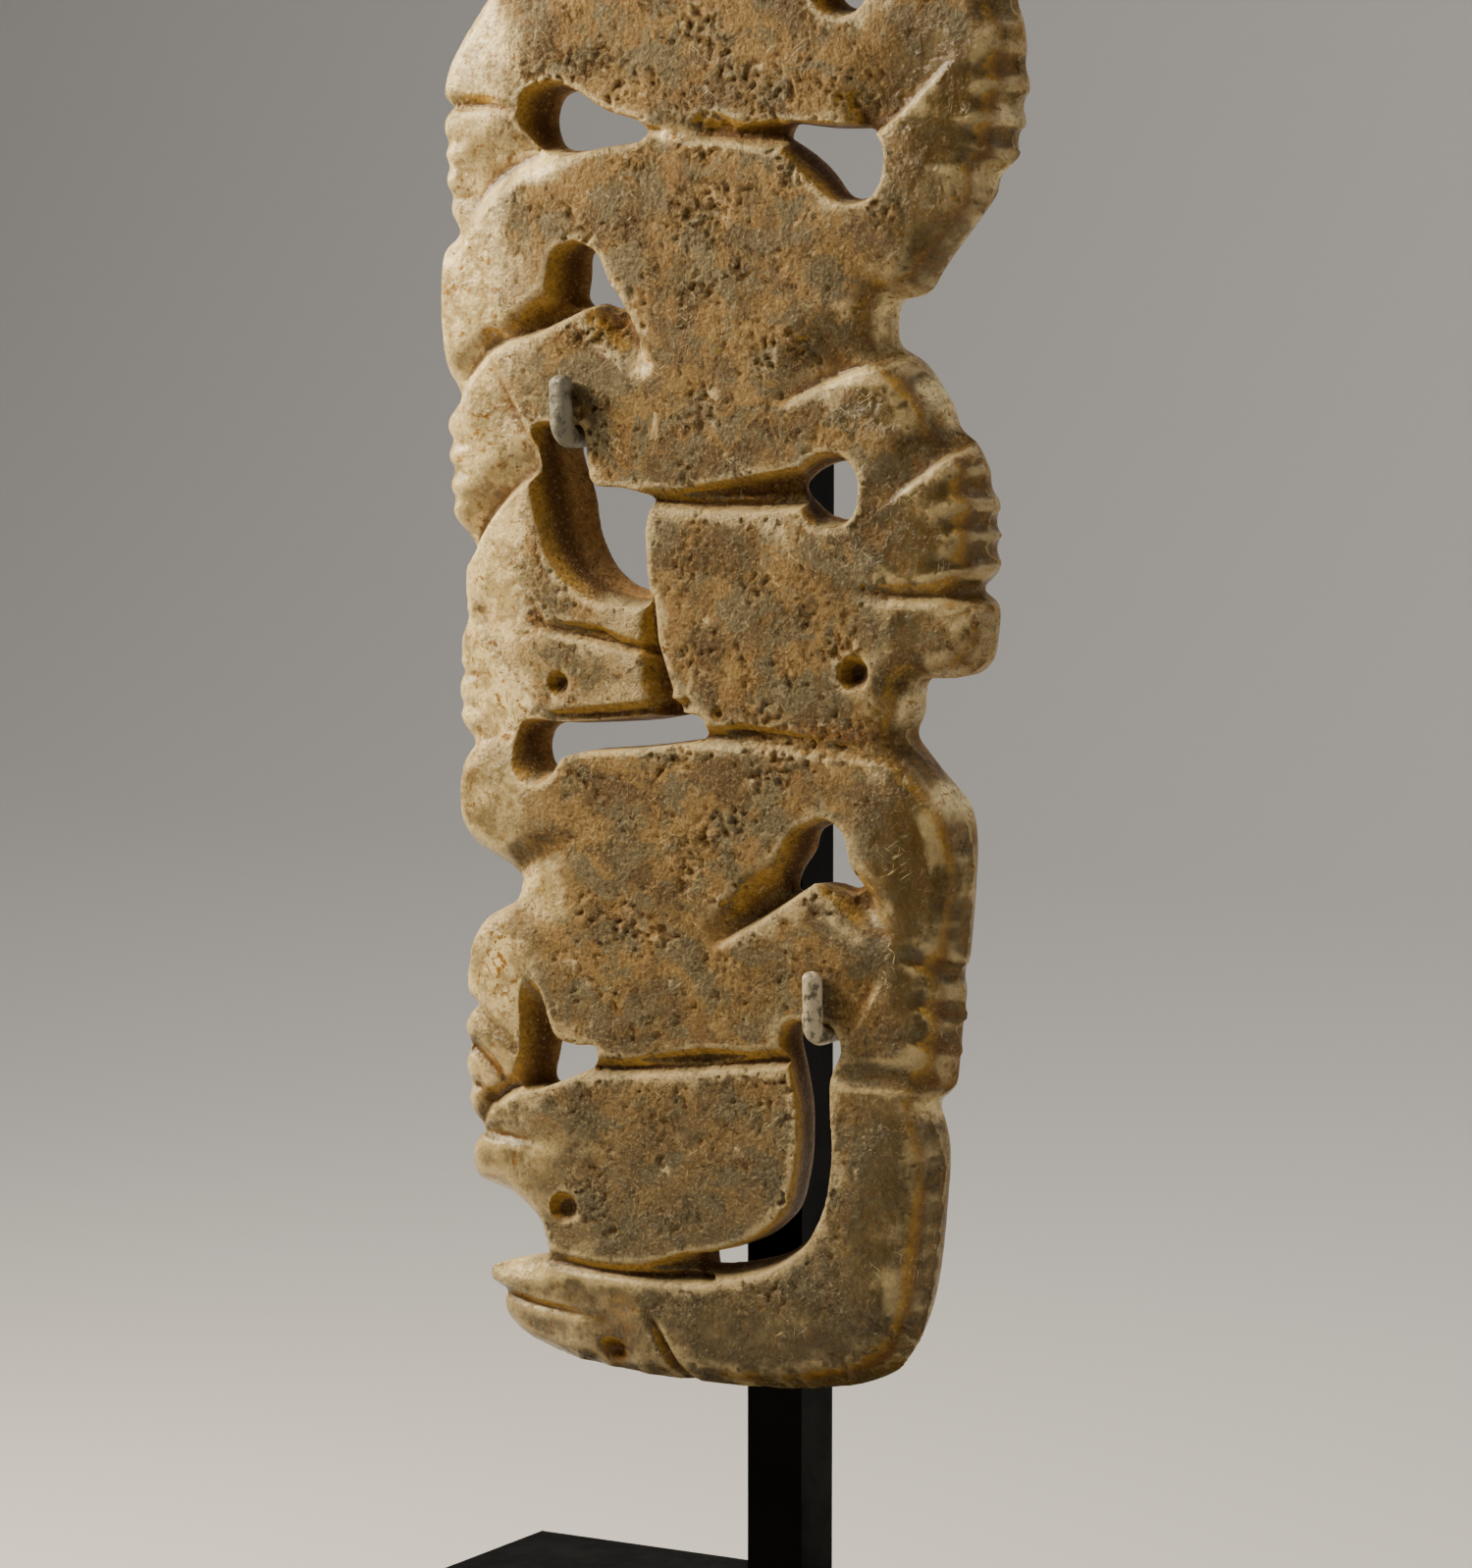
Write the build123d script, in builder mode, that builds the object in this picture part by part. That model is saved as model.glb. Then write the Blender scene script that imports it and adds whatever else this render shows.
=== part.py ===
from build123d import *

import os
from collections import namedtuple
from math import hypot, sqrt

# A flat stone plaque, pierced and carved with linked animal figures, hung by two bent
# metal hooks from a square post that stands in a plain base block.
# The plaque stands upright in the X-Z plane and its carved face looks along -Y.
# The origin is the middle of the base block's underside. Lengths are millimetres.

# The plaque
setting_width = 68.0        # frame in which the figures are set out, across the plaque
setting_height = 152.0      # the same frame, from the plaque's foot to its head
setting_shift = -1.2        # middle of that frame, to the left of the post's middle
plaque_clear = 30.6         # air between the base block and the plaque's foot
thickness = 6.5
edge_crown = 0.4            # how much fatter than the plaque its rounded edge would be
back_flare = 2.1            # how far an opening's wall runs outward from its waist to the back

# The stand
base_length = 105.0
base_depth = 70.0
base_height = 18.0
base_chamfer = 0.6
post_width = 6.35
post_above_hook = 3.2       # post above the middle of the upper hook's tail
post_seat = 6.0             # post inside the base block
post_chamfer = 0.4
fit_gap = 0.05              # post in its pocket and hooks in their bores, each side

# The hooks
upper_rod = 2.3
lower_rod = 2.0
arm_clear = 0.85            # air each side of the arms, between the post and the plaque
rest_gap = 0.12             # hook to the stone that rests on it
tail_depth = 4.0            # hook's tail inside the post
upper_hook_rise = 6.3       # hook's tip above the middle of its arm
lower_hook_rise = 6.6

lane = max(upper_rod, lower_rod) + 2 * arm_clear
plaque_back = post_width / 2 + lane
plaque_front = plaque_back + thickness
plaque_foot = base_height + plaque_clear
lane_middle = post_width / 2 + lane / 2
overshoot = 0.6             # how far a cutting shape stands out of the stone


def table(columns, *rows):
    """Rows of a short table, each value reached by its column's name."""
    row_type = namedtuple("row_type", columns)
    return [row_type(*row) for row in rows]


def across(share):
    """X of a share of the setting-out frame's width, counted from the left."""
    return setting_shift + setting_width * (share / 100 - 0.5)


def height(share):
    """Z of a share of the setting-out frame's height, counted from the foot."""
    return plaque_foot + setting_height * share / 100


def behind(depth):
    """Plane parallel to the carved face, so deep behind it, facing the viewer."""
    return Plane.XZ.offset(plaque_front - depth)


def corner_radii(points, softness):
    """Radius of the arc at each corner of a closed loop: its softness times the largest
    arc that the shorter of the two runs beside the corner leaves room for."""
    radii = []
    for i, (x, z) in enumerate(points):
        before = (x - points[i - 1][0], z - points[i - 1][1])
        after_point = points[(i + 1) % len(points)]
        after = (after_point[0] - x, after_point[1] - z)
        run_in, run_out = hypot(*before), hypot(*after)
        cosine = (before[0] * after[0] + before[1] * after[1]) / (run_in * run_out)
        half_tangent = sqrt((1 - cosine) / (1 + cosine))
        radii.append(softness[i] * 0.48 * min(run_in, run_out) / half_tangent)
    return radii


# The plaque's edge, from its head down the left side and up the right side.
# Each row is a corner: shares across and up, and how soft the corner is, 1 at most.
EDGE = "across up soft"

left_side = table(
    EDGE,
    (26.0, 97.8, 1.0), (15.5, 94.6, 1.0), (7.8, 90.2, 1.0), (3.0, 87.2, 0.9), (1.7, 85.0, 0.6),
    # upper left hand, below its wrist
    (4.9, 84.4, 0.3), (1.9, 83.7, 0.6), (1.9, 80.6, 0.8), (2.4, 77.8, 0.8), (4.6, 76.2, 0.3),
    # upper left arm
    (1.2, 74.9, 0.9), (1.1, 71.0, 0.9), (2.0, 67.2, 0.9), (5.2, 65.0, 0.3),
    # middle left hand
    (2.3, 63.8, 0.8), (2.7, 60.4, 0.8), (2.9, 57.2, 0.9), (7.2, 55.4, 0.4),
    # back of the middle head, and the small hand under it
    (5.1, 53.4, 0.9), (6.4, 50.4, 0.3), (3.9, 49.4, 0.8), (3.6, 47.0, 0.8), (3.7, 43.6, 0.8),
    (7.4, 42.2, 0.4),
    # left haunch and the waist under it
    (4.5, 40.4, 0.9), (4.4, 36.6, 0.9), (7.4, 35.1, 0.8), (15.7, 33.5, 0.9), (15.7, 31.7, 0.9),
    (9.2, 30.4, 0.8), (6.0, 28.3, 0.9), (5.6, 25.0, 0.8), (7.6, 24.1, 0.3),
    # lower left foot
    (5.2, 23.2, 0.8), (5.7, 20.4, 0.8), (6.1, 17.2, 0.8), (9.4, 15.7, 0.3),
)

left_foot = table(
    EDGE,
    # snout of the lower head and its throat
    (6.5, 14.4, 0.8), (7.1, 12.2, 0.9), (15.0, 11.5, 0.8), (19.6, 10.1, 0.9), (20.3, 8.5, 0.6),
    (21.7, 7.7, 0.3),
    # parted jaws of the animal at the foot
    (13.0, 6.9, 0.8), (9.3, 6.4, 0.8), (9.6, 5.3, 0.7), (12.9, 4.7, 0.3), (11.7, 3.5, 0.7),
    (14.7, 1.8, 0.9), (22.0, 0.6, 0.9), (40.0, 0.0, 0.9), (60.0, 0.2, 0.9), (72.6, 1.0, 0.9),
    (80.2, 2.7, 0.9),
    (83.6, 6.4, 0.9), (85.3, 11.6, 0.9), (86.3, 16.8, 0.9), (83.3, 20.1, 0.3),
)

right_side = table(
    EDGE,
    # lower right foot and the haunch above it
    (87.5, 21.4, 0.8), (88.6, 24.0, 0.8), (89.3, 26.4, 0.8), (89.0, 28.9, 0.8), (90.3, 32.4, 0.9),
    (90.9, 36.4, 0.9), (88.9, 39.6, 0.9), (84.3, 41.6, 0.8), (79.2, 44.0, 0.7),
    # neck, chin and snout of the right face
    (81.0, 45.4, 0.7), (81.0, 47.9, 0.8), (89.6, 48.0, 0.8), (93.8, 49.5, 0.9), (94.4, 52.6, 0.8),
    (89.8, 53.6, 0.3),
    # middle right hand
    (93.7, 55.0, 0.8), (94.0, 57.6, 0.8), (93.6, 60.4, 0.8), (92.0, 62.6, 0.9), (86.2, 63.9, 0.5),
    # shoulder, nape, and the arm above
    (85.9, 65.4, 0.8), (81.2, 68.1, 0.9), (76.2, 69.1, 0.6), (76.5, 72.0, 0.5), (82.6, 72.4, 0.9),
    (88.2, 75.2, 0.9), (93.2, 78.8, 0.8), (92.6, 80.0, 0.4),
    # upper right hand
    (96.4, 81.0, 0.8), (97.9, 83.8, 0.8), (98.5, 86.6, 0.8), (98.2, 89.6, 0.8), (95.6, 90.7, 0.6),
    # plain head of the plaque
    (96.0, 93.4, 0.9), (90.0, 96.8, 1.0), (76.0, 99.2, 1.0), (58.0, 100.2, 1.0), (40.0, 99.6, 1.0),
)

# Cuts between the fingers, where each cut's round bottom lies, and where the short groove
# that runs on from it over the face of the hand ends.
fingers = table(
    "across up end_across end_up",
    (1.2, 82.0, 8.0, 82.3), (1.2, 80.5, 7.5, 80.2), (1.7, 78.3, 6.5, 78.6),
    (1.8, 62.2, 7.5, 61.7), (2.1, 60.2, 8.0, 59.9), (2.1, 58.3, 8.0, 58.6),
    (2.9, 46.6, 8.0, 46.5), (2.8, 44.5, 7.5, 44.5),
    (5.0, 21.3, 11.0, 20.1), (5.4, 18.7, 9.0, 17.9),
    (98.3, 87.0, 90.5, 86.4), (97.8, 84.4, 90.5, 84.6), (97.0, 82.3, 90.5, 82.6),
    (93.1, 60.4, 86.5, 59.3), (93.8, 58.0, 86.5, 57.2), (93.8, 56.3, 87.0, 55.7),
    (89.2, 28.7, 82.0, 28.7), (89.4, 25.1, 81.0, 26.6), (89.1, 22.7, 80.5, 24.1),
)
finger_cut = 1.0            # radius of a cut between two fingers
finger_groove_width = 1.9   # share of the setting-out frame's width
finger_groove_depth = 9     # share of the thickness

# Openings through the plaque. Each row is a corner of the opening, first on the carved face
# and then at the waist, the narrowest section, which lies some way behind the face.
OPENING = "face_across face_up waist_across waist_up"

head_opening = table(
    OPENING,
    (65.0, 92.6, 67.6, 92.6), (67.2, 90.3, 68.8, 91.0), (71.5, 89.7, 71.8, 90.5),
    (75.6, 90.9, 74.5, 91.4), (76.7, 93.0, 75.1, 92.9), (73.4, 95.2, 72.9, 94.3),
    (68.2, 95.1, 69.6, 94.3),
)
shoulder_left_opening = table(
    OPENING,
    (14.4, 83.6, 20.2, 83.4), (16.3, 85.8, 21.4, 85.0), (22.5, 86.4, 24.4, 85.5),
    (27.7, 85.4, 27.5, 84.9), (31.6, 84.2, 31.2, 84.0), (37.4, 83.6, 36.6, 83.4),
    (38.6, 83.2, 37.6, 83.1), (38.6, 82.4, 37.6, 82.5), (37.2, 82.0, 36.4, 82.2), (30.0, 81.6, 30.0, 81.9),
    (23.0, 80.9, 25.0, 81.5), (16.9, 81.2, 21.6, 81.7),
)
shoulder_right_opening = table(
    OPENING,
    (60.2, 82.6, 59.4, 82.6), (62.0, 83.6, 61.2, 83.3), (69.0, 83.4, 68.5, 82.9),
    (75.6, 83.4, 74.8, 83.0), (78.3, 82.0, 77.4, 81.9), (78.1, 79.8, 77.2, 80.0),
    (76.0, 78.3, 75.0, 78.8), (71.3, 78.0, 70.6, 78.4), (66.2, 79.3, 67.2, 80.4),
    (61.4, 81.3, 63.6, 81.6),
)
elbow_opening = table(
    OPENING,
    (21.2, 75.0, 26.2, 74.6), (25.4, 75.9, 28.0, 75.3), (30.3, 75.1, 29.8, 74.9),
    (33.2, 72.2, 32.6, 72.4), (35.6, 70.4, 33.6, 71.6), (32.5, 69.8, 31.5, 71.2),
    (28.4, 71.5, 28.8, 71.6), (24.0, 70.4, 26.8, 71.3), (19.6, 70.7, 25.6, 71.8),
    (20.2, 73.0, 26.2, 73.2),
)
jaw_opening = table(
    OPENING,
    (18.2, 63.6, 22.8, 63.6), (23.5, 63.75, 25.2, 63.7), (28.1, 63.6, 27.9, 63.6),
    (28.4, 61.6, 28.2, 61.6), (29.1, 59.5, 28.9, 59.7), (34.5, 59.6, 34.4, 59.6),
    (40.2, 59.0, 39.6, 59.0), (38.5, 57.4, 38.2, 57.4), (38.6, 54.6, 38.3, 54.6),
    (39.8, 51.6, 39.0, 52.7), (34.5, 51.5, 35.8, 52.5), (29.4, 51.7, 31.8, 53.0),
    (24.0, 52.8, 28.6, 54.2), (19.8, 54.9, 26.2, 56.2), (17.7, 58.0, 25.3, 59.0),
    (17.4, 61.4, 23.0, 61.4),
)
ear_opening = table(
    OPENING,
    (64.4, 60.8, 62.4, 59.9), (66.8, 62.4, 65.4, 61.1), (71.6, 62.5, 70.0, 61.8),
    (74.4, 60.9, 73.3, 60.7), (74.1, 58.5, 73.1, 58.9), (71.2, 57.2, 70.4, 57.8),
    (66.6, 57.4, 66.6, 58.2), (64.4, 58.8, 64.2, 59.1),
)
belt_opening = table(
    OPENING,
    (11.9, 42.2, 18.8, 42.1), (13.0, 43.6, 19.6, 43.1), (17.2, 44.1, 21.4, 43.6),
    (23.0, 43.9, 24.6, 43.6), (30.0, 44.3, 31.0, 43.8), (38.0, 44.9, 38.4, 44.1),
    (44.5, 45.1, 44.5, 44.7), (48.4, 44.8, 47.6, 44.5), (49.1, 43.8, 48.3, 43.7),
    (47.6, 43.0, 47.0, 43.2), (38.0, 42.4, 38.0, 42.5), (27.0, 41.9, 27.4, 42.0),
    (24.0, 41.6, 23.6, 41.4), (21.6, 39.7, 21.8, 40.7), (17.0, 39.1, 20.2, 40.5),
    (12.8, 40.3, 19.2, 41.0),
)
foot_opening = table(
    OPENING,
    (16.0, 27.8, 20.8, 22.4), (19.3, 26.7, 21.5, 22.7), (20.8, 24.4, 22.3, 22.8),
    (22.2, 22.6, 23.3, 22.6), (26.0, 22.2, 26.2, 22.2), (29.8, 22.5, 29.0, 22.3),
    (30.4, 21.6, 29.6, 21.5), (29.0, 20.8, 28.6, 20.8), (25.5, 20.1, 25.5, 20.2),
    (20.5, 19.2, 22.5, 19.5), (15.5, 18.4, 20.6, 19.2), (11.8, 18.6, 19.4, 19.5),
    (13.6, 20.2, 19.6, 20.2), (14.9, 21.8, 20.0, 20.8), (15.2, 24.0, 20.3, 21.4),
    (14.6, 26.0, 20.5, 21.9),
)
knee_opening = table(
    OPENING,
    (62.3, 37.6, 65.2, 37.5), (68.6, 38.8, 68.2, 38.2), (71.9, 37.9, 71.2, 37.6),
    (73.0, 35.5, 72.4, 35.4), (76.2, 33.6, 73.4, 34.4), (74.2, 32.6, 71.6, 33.9),
    (70.2, 33.4, 69.2, 34.2), (67.2, 34.6, 66.6, 34.2), (63.2, 33.3, 64.0, 33.6),
    (59.4, 32.6, 61.2, 33.4), (58.4, 34.2, 62.4, 34.9), (60.2, 36.0, 64.6, 36.1),
)
hook_opening = table(
    OPENING,
    (60.8, 23.9, 61.9, 23.9), (62.6, 25.2, 63.4, 25.1), (70.2, 25.2, 69.4, 25.1),
    (72.0, 23.5, 71.0, 23.4), (69.6, 21.7, 69.3, 21.7), (69.7, 19.4, 69.2, 19.4),
    (70.2, 16.4, 69.6, 16.4), (69.0, 12.9, 68.2, 13.1), (65.8, 10.1, 65.0, 10.9),
    (60.5, 8.4, 60.0, 9.3), (53.0, 7.2, 52.5, 8.4), (45.0, 6.9, 46.6, 8.1),
    (44.6, 9.0, 46.8, 8.9), (51.0, 9.4, 51.4, 9.3), (58.0, 10.7, 57.8, 10.5),
    (62.7, 12.6, 62.4, 12.4), (64.4, 16.0, 64.2, 16.0), (64.4, 19.5, 64.2, 19.5),
    (63.2, 22.0, 63.0, 22.1),
)

# Which openings there are, how deep each waist lies as a share of the thickness, and how
# soft the corners are.
openings = table(
    "corners waist soft",
    (head_opening, 0.6, 0.95),
    (shoulder_left_opening, 0.6, 0.9),
    (shoulder_right_opening, 0.6, 0.9),
    (elbow_opening, 0.6, 0.75),
    (jaw_opening, 0.9, 0.8),
    (ear_opening, 0.6, 0.95),
    (belt_opening, 0.6, 0.8),
    (foot_opening, 0.6, 0.75),
    (knee_opening, 0.6, 0.75),
    (hook_opening, 0.6, 0.8),
)

# Where the stone rests on the hooks: the flat top of an opening, beside the post.
upper_rest = (25.4, 63.6)
lower_rest = (67.9, 25.1)

# Grooves on the carved face, each a spindle-shaped cut from one point to another. Width is
# a share of the setting-out frame's width and depth of the plaque's thickness. The deepest
# point lies at a share of the way: at 0 the groove starts blunt, in the side of an opening.
grooves = table(
    "from_across from_up to_across to_up width depth deepest",
    # between the two shoulders, and over the upper hands
    (37.0, 82.8, 46.5, 83.0, 2.4, 18, 0), (61.0, 82.6, 43.0, 82.7, 4.6, 44, 0),
    (3.0, 84.7, 14.6, 84.5, 1.8, 10, 0.2), (4.6, 76.9, 19.0, 80.9, 2.0, 9, 0.3),
    (76.8, 83.6, 93.0, 89.6, 4.0, 14, 0.3), (83.0, 82.0, 94.5, 81.2, 2.6, 10, 0.8),
    # elbow, and over the middle left hand
    (24.0, 71.3, 10.0, 68.6, 4.2, 38, 0), (32.0, 70.9, 39.6, 67.6, 4.4, 34, 0),
    (3.2, 65.0, 12.5, 69.0, 1.8, 9, 0.4), (11.0, 67.6, 18.5, 63.2, 2.2, 7, 0.5),
    (4.6, 56.4, 18.4, 61.0, 2.4, 12, 0.5),
    # jaw line between the two heads
    (66.0, 60.0, 35.0, 58.8, 6.4, 46, 0),
    # mouth of the left animal, step beside it, and the hand under its neck
    (18.0, 50.8, 38.5, 49.2, 2.7, 18, 0.6), (38.4, 52.6, 41.8, 44.6, 5.2, 24, 0.8),
    (5.6, 50.5, 18.8, 44.4, 2.6, 12, 0.5),
    # right face: shoulder line, hand, mouth
    (63.0, 66.7, 79.0, 69.6, 3.4, 12, 0.6), (77.4, 59.6, 90.0, 63.6, 2.6, 12, 0.5),
    (70.8, 53.7, 93.8, 53.6, 2.8, 15, 0.6), (67.0, 73.9, 80.0, 72.2, 5.0, 9, 0.7),
    # belt groove
    (48.0, 43.9, 81.0, 43.3, 3.4, 20, 0.2),
    # knee, foot and wrist on the right
    (62.5, 34.6, 48.6, 29.2, 5.2, 34, 0), (72.4, 33.6, 80.4, 30.9, 4.2, 28, 0),
    (70.8, 22.0, 86.6, 20.7, 3.2, 13, 0.8),
    # waist and foot on the left
    (14.4, 32.9, 26.5, 35.6, 5.0, 9, 0.3), (29.0, 21.2, 62.5, 22.9, 3.0, 22, 0.6),
    (5.4, 24.2, 14.5, 21.8, 2.2, 11, 0.4), (6.4, 15.8, 20.0, 15.4, 2.8, 13, 0.4),
    # along the lower head and the jaws of the animal at the foot
    (46.6, 8.3, 34.0, 7.3, 4.0, 40, 0), (37.0, 7.4, 19.8, 7.4, 2.0, 7, 0.5),
    (10.4, 4.6, 31.5, 4.1, 1.8, 8, 0.4), (37.6, 4.8, 44.8, -0.4, 3.0, 15, 0.6),
)

# Drilled eyes and one stray pit: place, and radius as a share of the frame's width.
pits = table(
    "across up radius",
    (73.5, 48.1, 2.5), (23.3, 46.4, 1.9), (23.9, 11.1, 2.5), (31.8, 1.8, 2.4), (51.0, 45.0, 1.0),
)

# How far the rounded edge reaches to the left and to the right, level by level.
edge_reach = table(
    "up left right",
    (-3.0, 24.0, 60.0), (1.6, 13.8, 76.5), (5.0, 9.2, 82.5), (13.0, 6.4, 86.3),
    (23.0, 5.1, 88.2), (32.0, 5.1, 90.3), (42.0, 3.8, 91.9), (52.0, 3.6, 94.5),
    (60.0, 2.6, 93.9), (66.0, 1.9, 86.4), (70.5, 1.2, 82.0), (76.0, 1.6, 88.6),
    (82.0, 1.7, 97.6), (88.0, 3.2, 98.3), (94.0, 13.4, 95.4), (98.0, 26.0, 82.0),
    (103.0, 44.0, 60.0),
)


def draw_loop(points, softness):
    """Closed face through the corners, each rounded by its softness."""
    with BuildLine() as loop:
        FilletPolyline(*points, radius=corner_radii(points, softness), close=True)
    make_face(loop.edges())


def widened(loop, amount):
    """The corners of a loop, each moved outward at right angles to its neighbours' line."""
    turning = sum(loop[i - 1][0] * z - x * loop[i - 1][1] for i, (x, z) in enumerate(loop))
    outward = amount if turning > 0 else -amount
    moved = []
    for i, (x, z) in enumerate(loop):
        ahead = loop[(i + 1) % len(loop)]
        run_x, run_z = ahead[0] - loop[i - 1][0], ahead[1] - loop[i - 1][1]
        run = hypot(run_x, run_z)
        moved.append((x + outward * run_z / run, z - outward * run_x / run))
    return moved


def opening_cutter(corners, waist_share, softness):
    """Shape of one opening: from the carved face to its waist, then flared to the back."""
    face = [(across(p.face_across), height(p.face_up)) for p in corners]
    waist = [(across(p.waist_across), height(p.waist_up)) for p in corners]
    back = widened(waist, back_flare)
    levels = ((-overshoot, face), (waist_share * thickness, waist), (thickness + overshoot, back))
    with BuildPart() as cutter:
        for depth, loop in levels:
            with BuildSketch(behind(depth)):
                draw_loop(loop, [softness] * len(loop))
        loft(ruled=True)
    return cutter.part


def groove_cutter(start, end, width_share, depth_share, deepest):
    """Shape of one groove: a channel section at its deepest point, run out to a point at
    the carved face at either end, or only at the far end where it starts in an opening."""
    width = setting_width * width_share / 100
    depth = thickness * depth_share / 100
    start = Vector(across(start[0]), -plaque_front, height(start[1]))
    end = Vector(across(end[0]), -plaque_front, height(end[1]))
    along = (end - start).normalized()
    peak = start + (end - start) * deepest
    section_plane = Plane(peak, x_dir=(-along.Z, 0, along.X), z_dir=along)
    half_section = [(0.6 * width, 0.375 * depth), (0.3 * width, -0.75 * depth), (0.1 * width, -depth)]
    mirrored = [(-x, y) for x, y in reversed(half_section)]
    with BuildSketch(section_plane) as section:
        with BuildLine():
            Polyline(*half_section, *mirrored, close=True)
        make_face()
    stations = [section.sketch.face(), Vertex(end)]
    if deepest > 0:
        stations.insert(0, Vertex(start))
    with BuildPart() as cutter:
        loft(sections=stations, ruled=True)
    return cutter.part


opening_cutters = [opening_cutter(*opening) for opening in openings]
groove_cutters = [
    groove_cutter((g.from_across, g.from_up), (g.to_across, g.to_up), g.width, g.depth, g.deepest)
    for g in grooves
]
groove_cutters += [
    groove_cutter((f.across, f.up), (f.end_across, f.end_up), finger_groove_width,
                  finger_groove_depth, 0.3)
    for f in fingers
]

# Rounded stock: full thickness in the middle and round at the edge on every side
with BuildPart() as stock:
    for level in edge_reach:
        left, right = across(level.left), across(level.right)
        with BuildSketch(Plane.XY.offset(height(level.up))):
            with Locations(((left + right) / 2, -(plaque_front + plaque_back) / 2)):
                SlotOverall(right - left, thickness + edge_crown)
    loft()
    with BuildSketch(Plane.YZ):
        with Locations((-(plaque_front + plaque_back) / 2, height(50))):
            SlotOverall(height(100.4) - height(-0.4), thickness + edge_crown, rotation=90)
    extrude(amount=setting_width, both=True, mode=Mode.INTERSECT)

# Plaque, flat and sharp-edged until the last step cuts it to the rounded stock
with BuildPart() as plaque:
    edge = left_side + left_foot + right_side
    with BuildSketch(behind(thickness)):
        draw_loop([(across(p.across), height(p.up)) for p in edge], [p.soft for p in edge])
    extrude(amount=thickness)
    for pit in pits:
        with Locations((across(pit.across), -plaque_front, height(pit.up))):
            Sphere(setting_width * pit.radius / 100, mode=Mode.SUBTRACT)
    with BuildSketch(behind(-overshoot)):
        with Locations(*[(across(f.across), height(f.up)) for f in fingers]):
            Circle(finger_cut)
    extrude(amount=-(thickness + 2 * overshoot), mode=Mode.SUBTRACT)
    add(groove_cutters, mode=Mode.SUBTRACT)
    add(opening_cutters, mode=Mode.SUBTRACT)
    add(stock.part, mode=Mode.INTERSECT)

plaque.part.label = "pendant"


# Base block, with a blind pocket for the post
with BuildPart() as base:
    with BuildSketch():
        Rectangle(base_length, base_depth)
    extrude(amount=base_height)
    chamfer(base.edges(), base_chamfer)
    with BuildSketch(Plane.XY.offset(base_height)):
        Rectangle(post_width + 2 * fit_gap, post_width + 2 * fit_gap)
    extrude(amount=-post_seat, mode=Mode.SUBTRACT)

base.part.label = "base_block"


# Square post, with a blind bore in its front for each hook's tail
upper_arm = height(upper_rest[1]) - rest_gap - upper_rod / 2
lower_arm = height(lower_rest[1]) - rest_gap - lower_rod / 2
post_foot = base_height - post_seat
post_top = upper_arm + post_above_hook

with BuildPart() as post:
    with BuildSketch(Plane.XY.offset(post_foot)):
        Rectangle(post_width, post_width)
    extrude(amount=post_top - post_foot)
    chamfer(post.faces().sort_by(Axis.Z)[-1].edges(), post_chamfer)
    with BuildSketch(Plane.XZ.offset(post_width / 2)):
        with Locations((0, upper_arm)):
            Circle(upper_rod / 2 + fit_gap)
        with Locations((0, lower_arm)):
            Circle(lower_rod / 2 + fit_gap)
    extrude(amount=-(tail_depth + fit_gap), mode=Mode.SUBTRACT)

post.part.label = "post"


def bent_hook(side, level, rod, rise):
    """A round rod: tail in the post, arm along the back of the plaque, shank through an
    opening and a short upturned end over the carved face."""
    front = plaque_front + rest_gap + rod / 2
    route = [
        (0, tail_depth - post_width / 2, level),
        (0, -lane_middle, level),
        (side, -lane_middle, level),
        (side, -front, level),
        (side, -front, level + rise),
    ]
    bend = 0.8 * rod
    with BuildPart() as hook:
        with BuildLine() as centre:
            FilletPolyline(*route, radius=[bend, bend, bend])
        with BuildSketch(Plane(route[0], z_dir=(0, -1, 0))):
            Circle(rod / 2)
        sweep(path=centre.wires()[0])
        ends = hook.faces().filter_by(GeomType.PLANE)
        chamfer(ends.edges(), rod / 8)
    return hook.part


upper_hook = bent_hook(across(upper_rest[0]), upper_arm, upper_rod, upper_hook_rise)
upper_hook.label = "upper_hook"
lower_hook = bent_hook(across(lower_rest[0]), lower_arm, lower_rod, lower_hook_rise)
lower_hook.label = "lower_hook"

os.makedirs("parts", exist_ok=True)
for piece in (plaque.part, base.part, post.part, upper_hook, lower_hook):
    export_step(piece, f"parts/{piece.label}.step")
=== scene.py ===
import math

import bmesh
import bpy
import numpy as np
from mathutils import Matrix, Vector


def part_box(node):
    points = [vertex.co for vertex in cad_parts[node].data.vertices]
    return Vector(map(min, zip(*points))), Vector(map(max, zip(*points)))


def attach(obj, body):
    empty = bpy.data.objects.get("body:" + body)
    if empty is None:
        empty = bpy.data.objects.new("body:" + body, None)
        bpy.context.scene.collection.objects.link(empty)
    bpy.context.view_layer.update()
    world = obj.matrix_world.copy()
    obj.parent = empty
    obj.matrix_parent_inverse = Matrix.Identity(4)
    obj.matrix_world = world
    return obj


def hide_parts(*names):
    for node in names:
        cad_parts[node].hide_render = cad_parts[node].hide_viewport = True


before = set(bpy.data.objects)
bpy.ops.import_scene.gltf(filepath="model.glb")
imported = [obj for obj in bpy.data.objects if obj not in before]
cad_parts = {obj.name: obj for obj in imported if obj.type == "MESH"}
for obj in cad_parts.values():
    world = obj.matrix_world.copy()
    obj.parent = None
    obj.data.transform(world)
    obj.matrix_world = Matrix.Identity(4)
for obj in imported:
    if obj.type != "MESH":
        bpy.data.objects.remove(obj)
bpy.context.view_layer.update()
MM = 0.001


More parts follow.
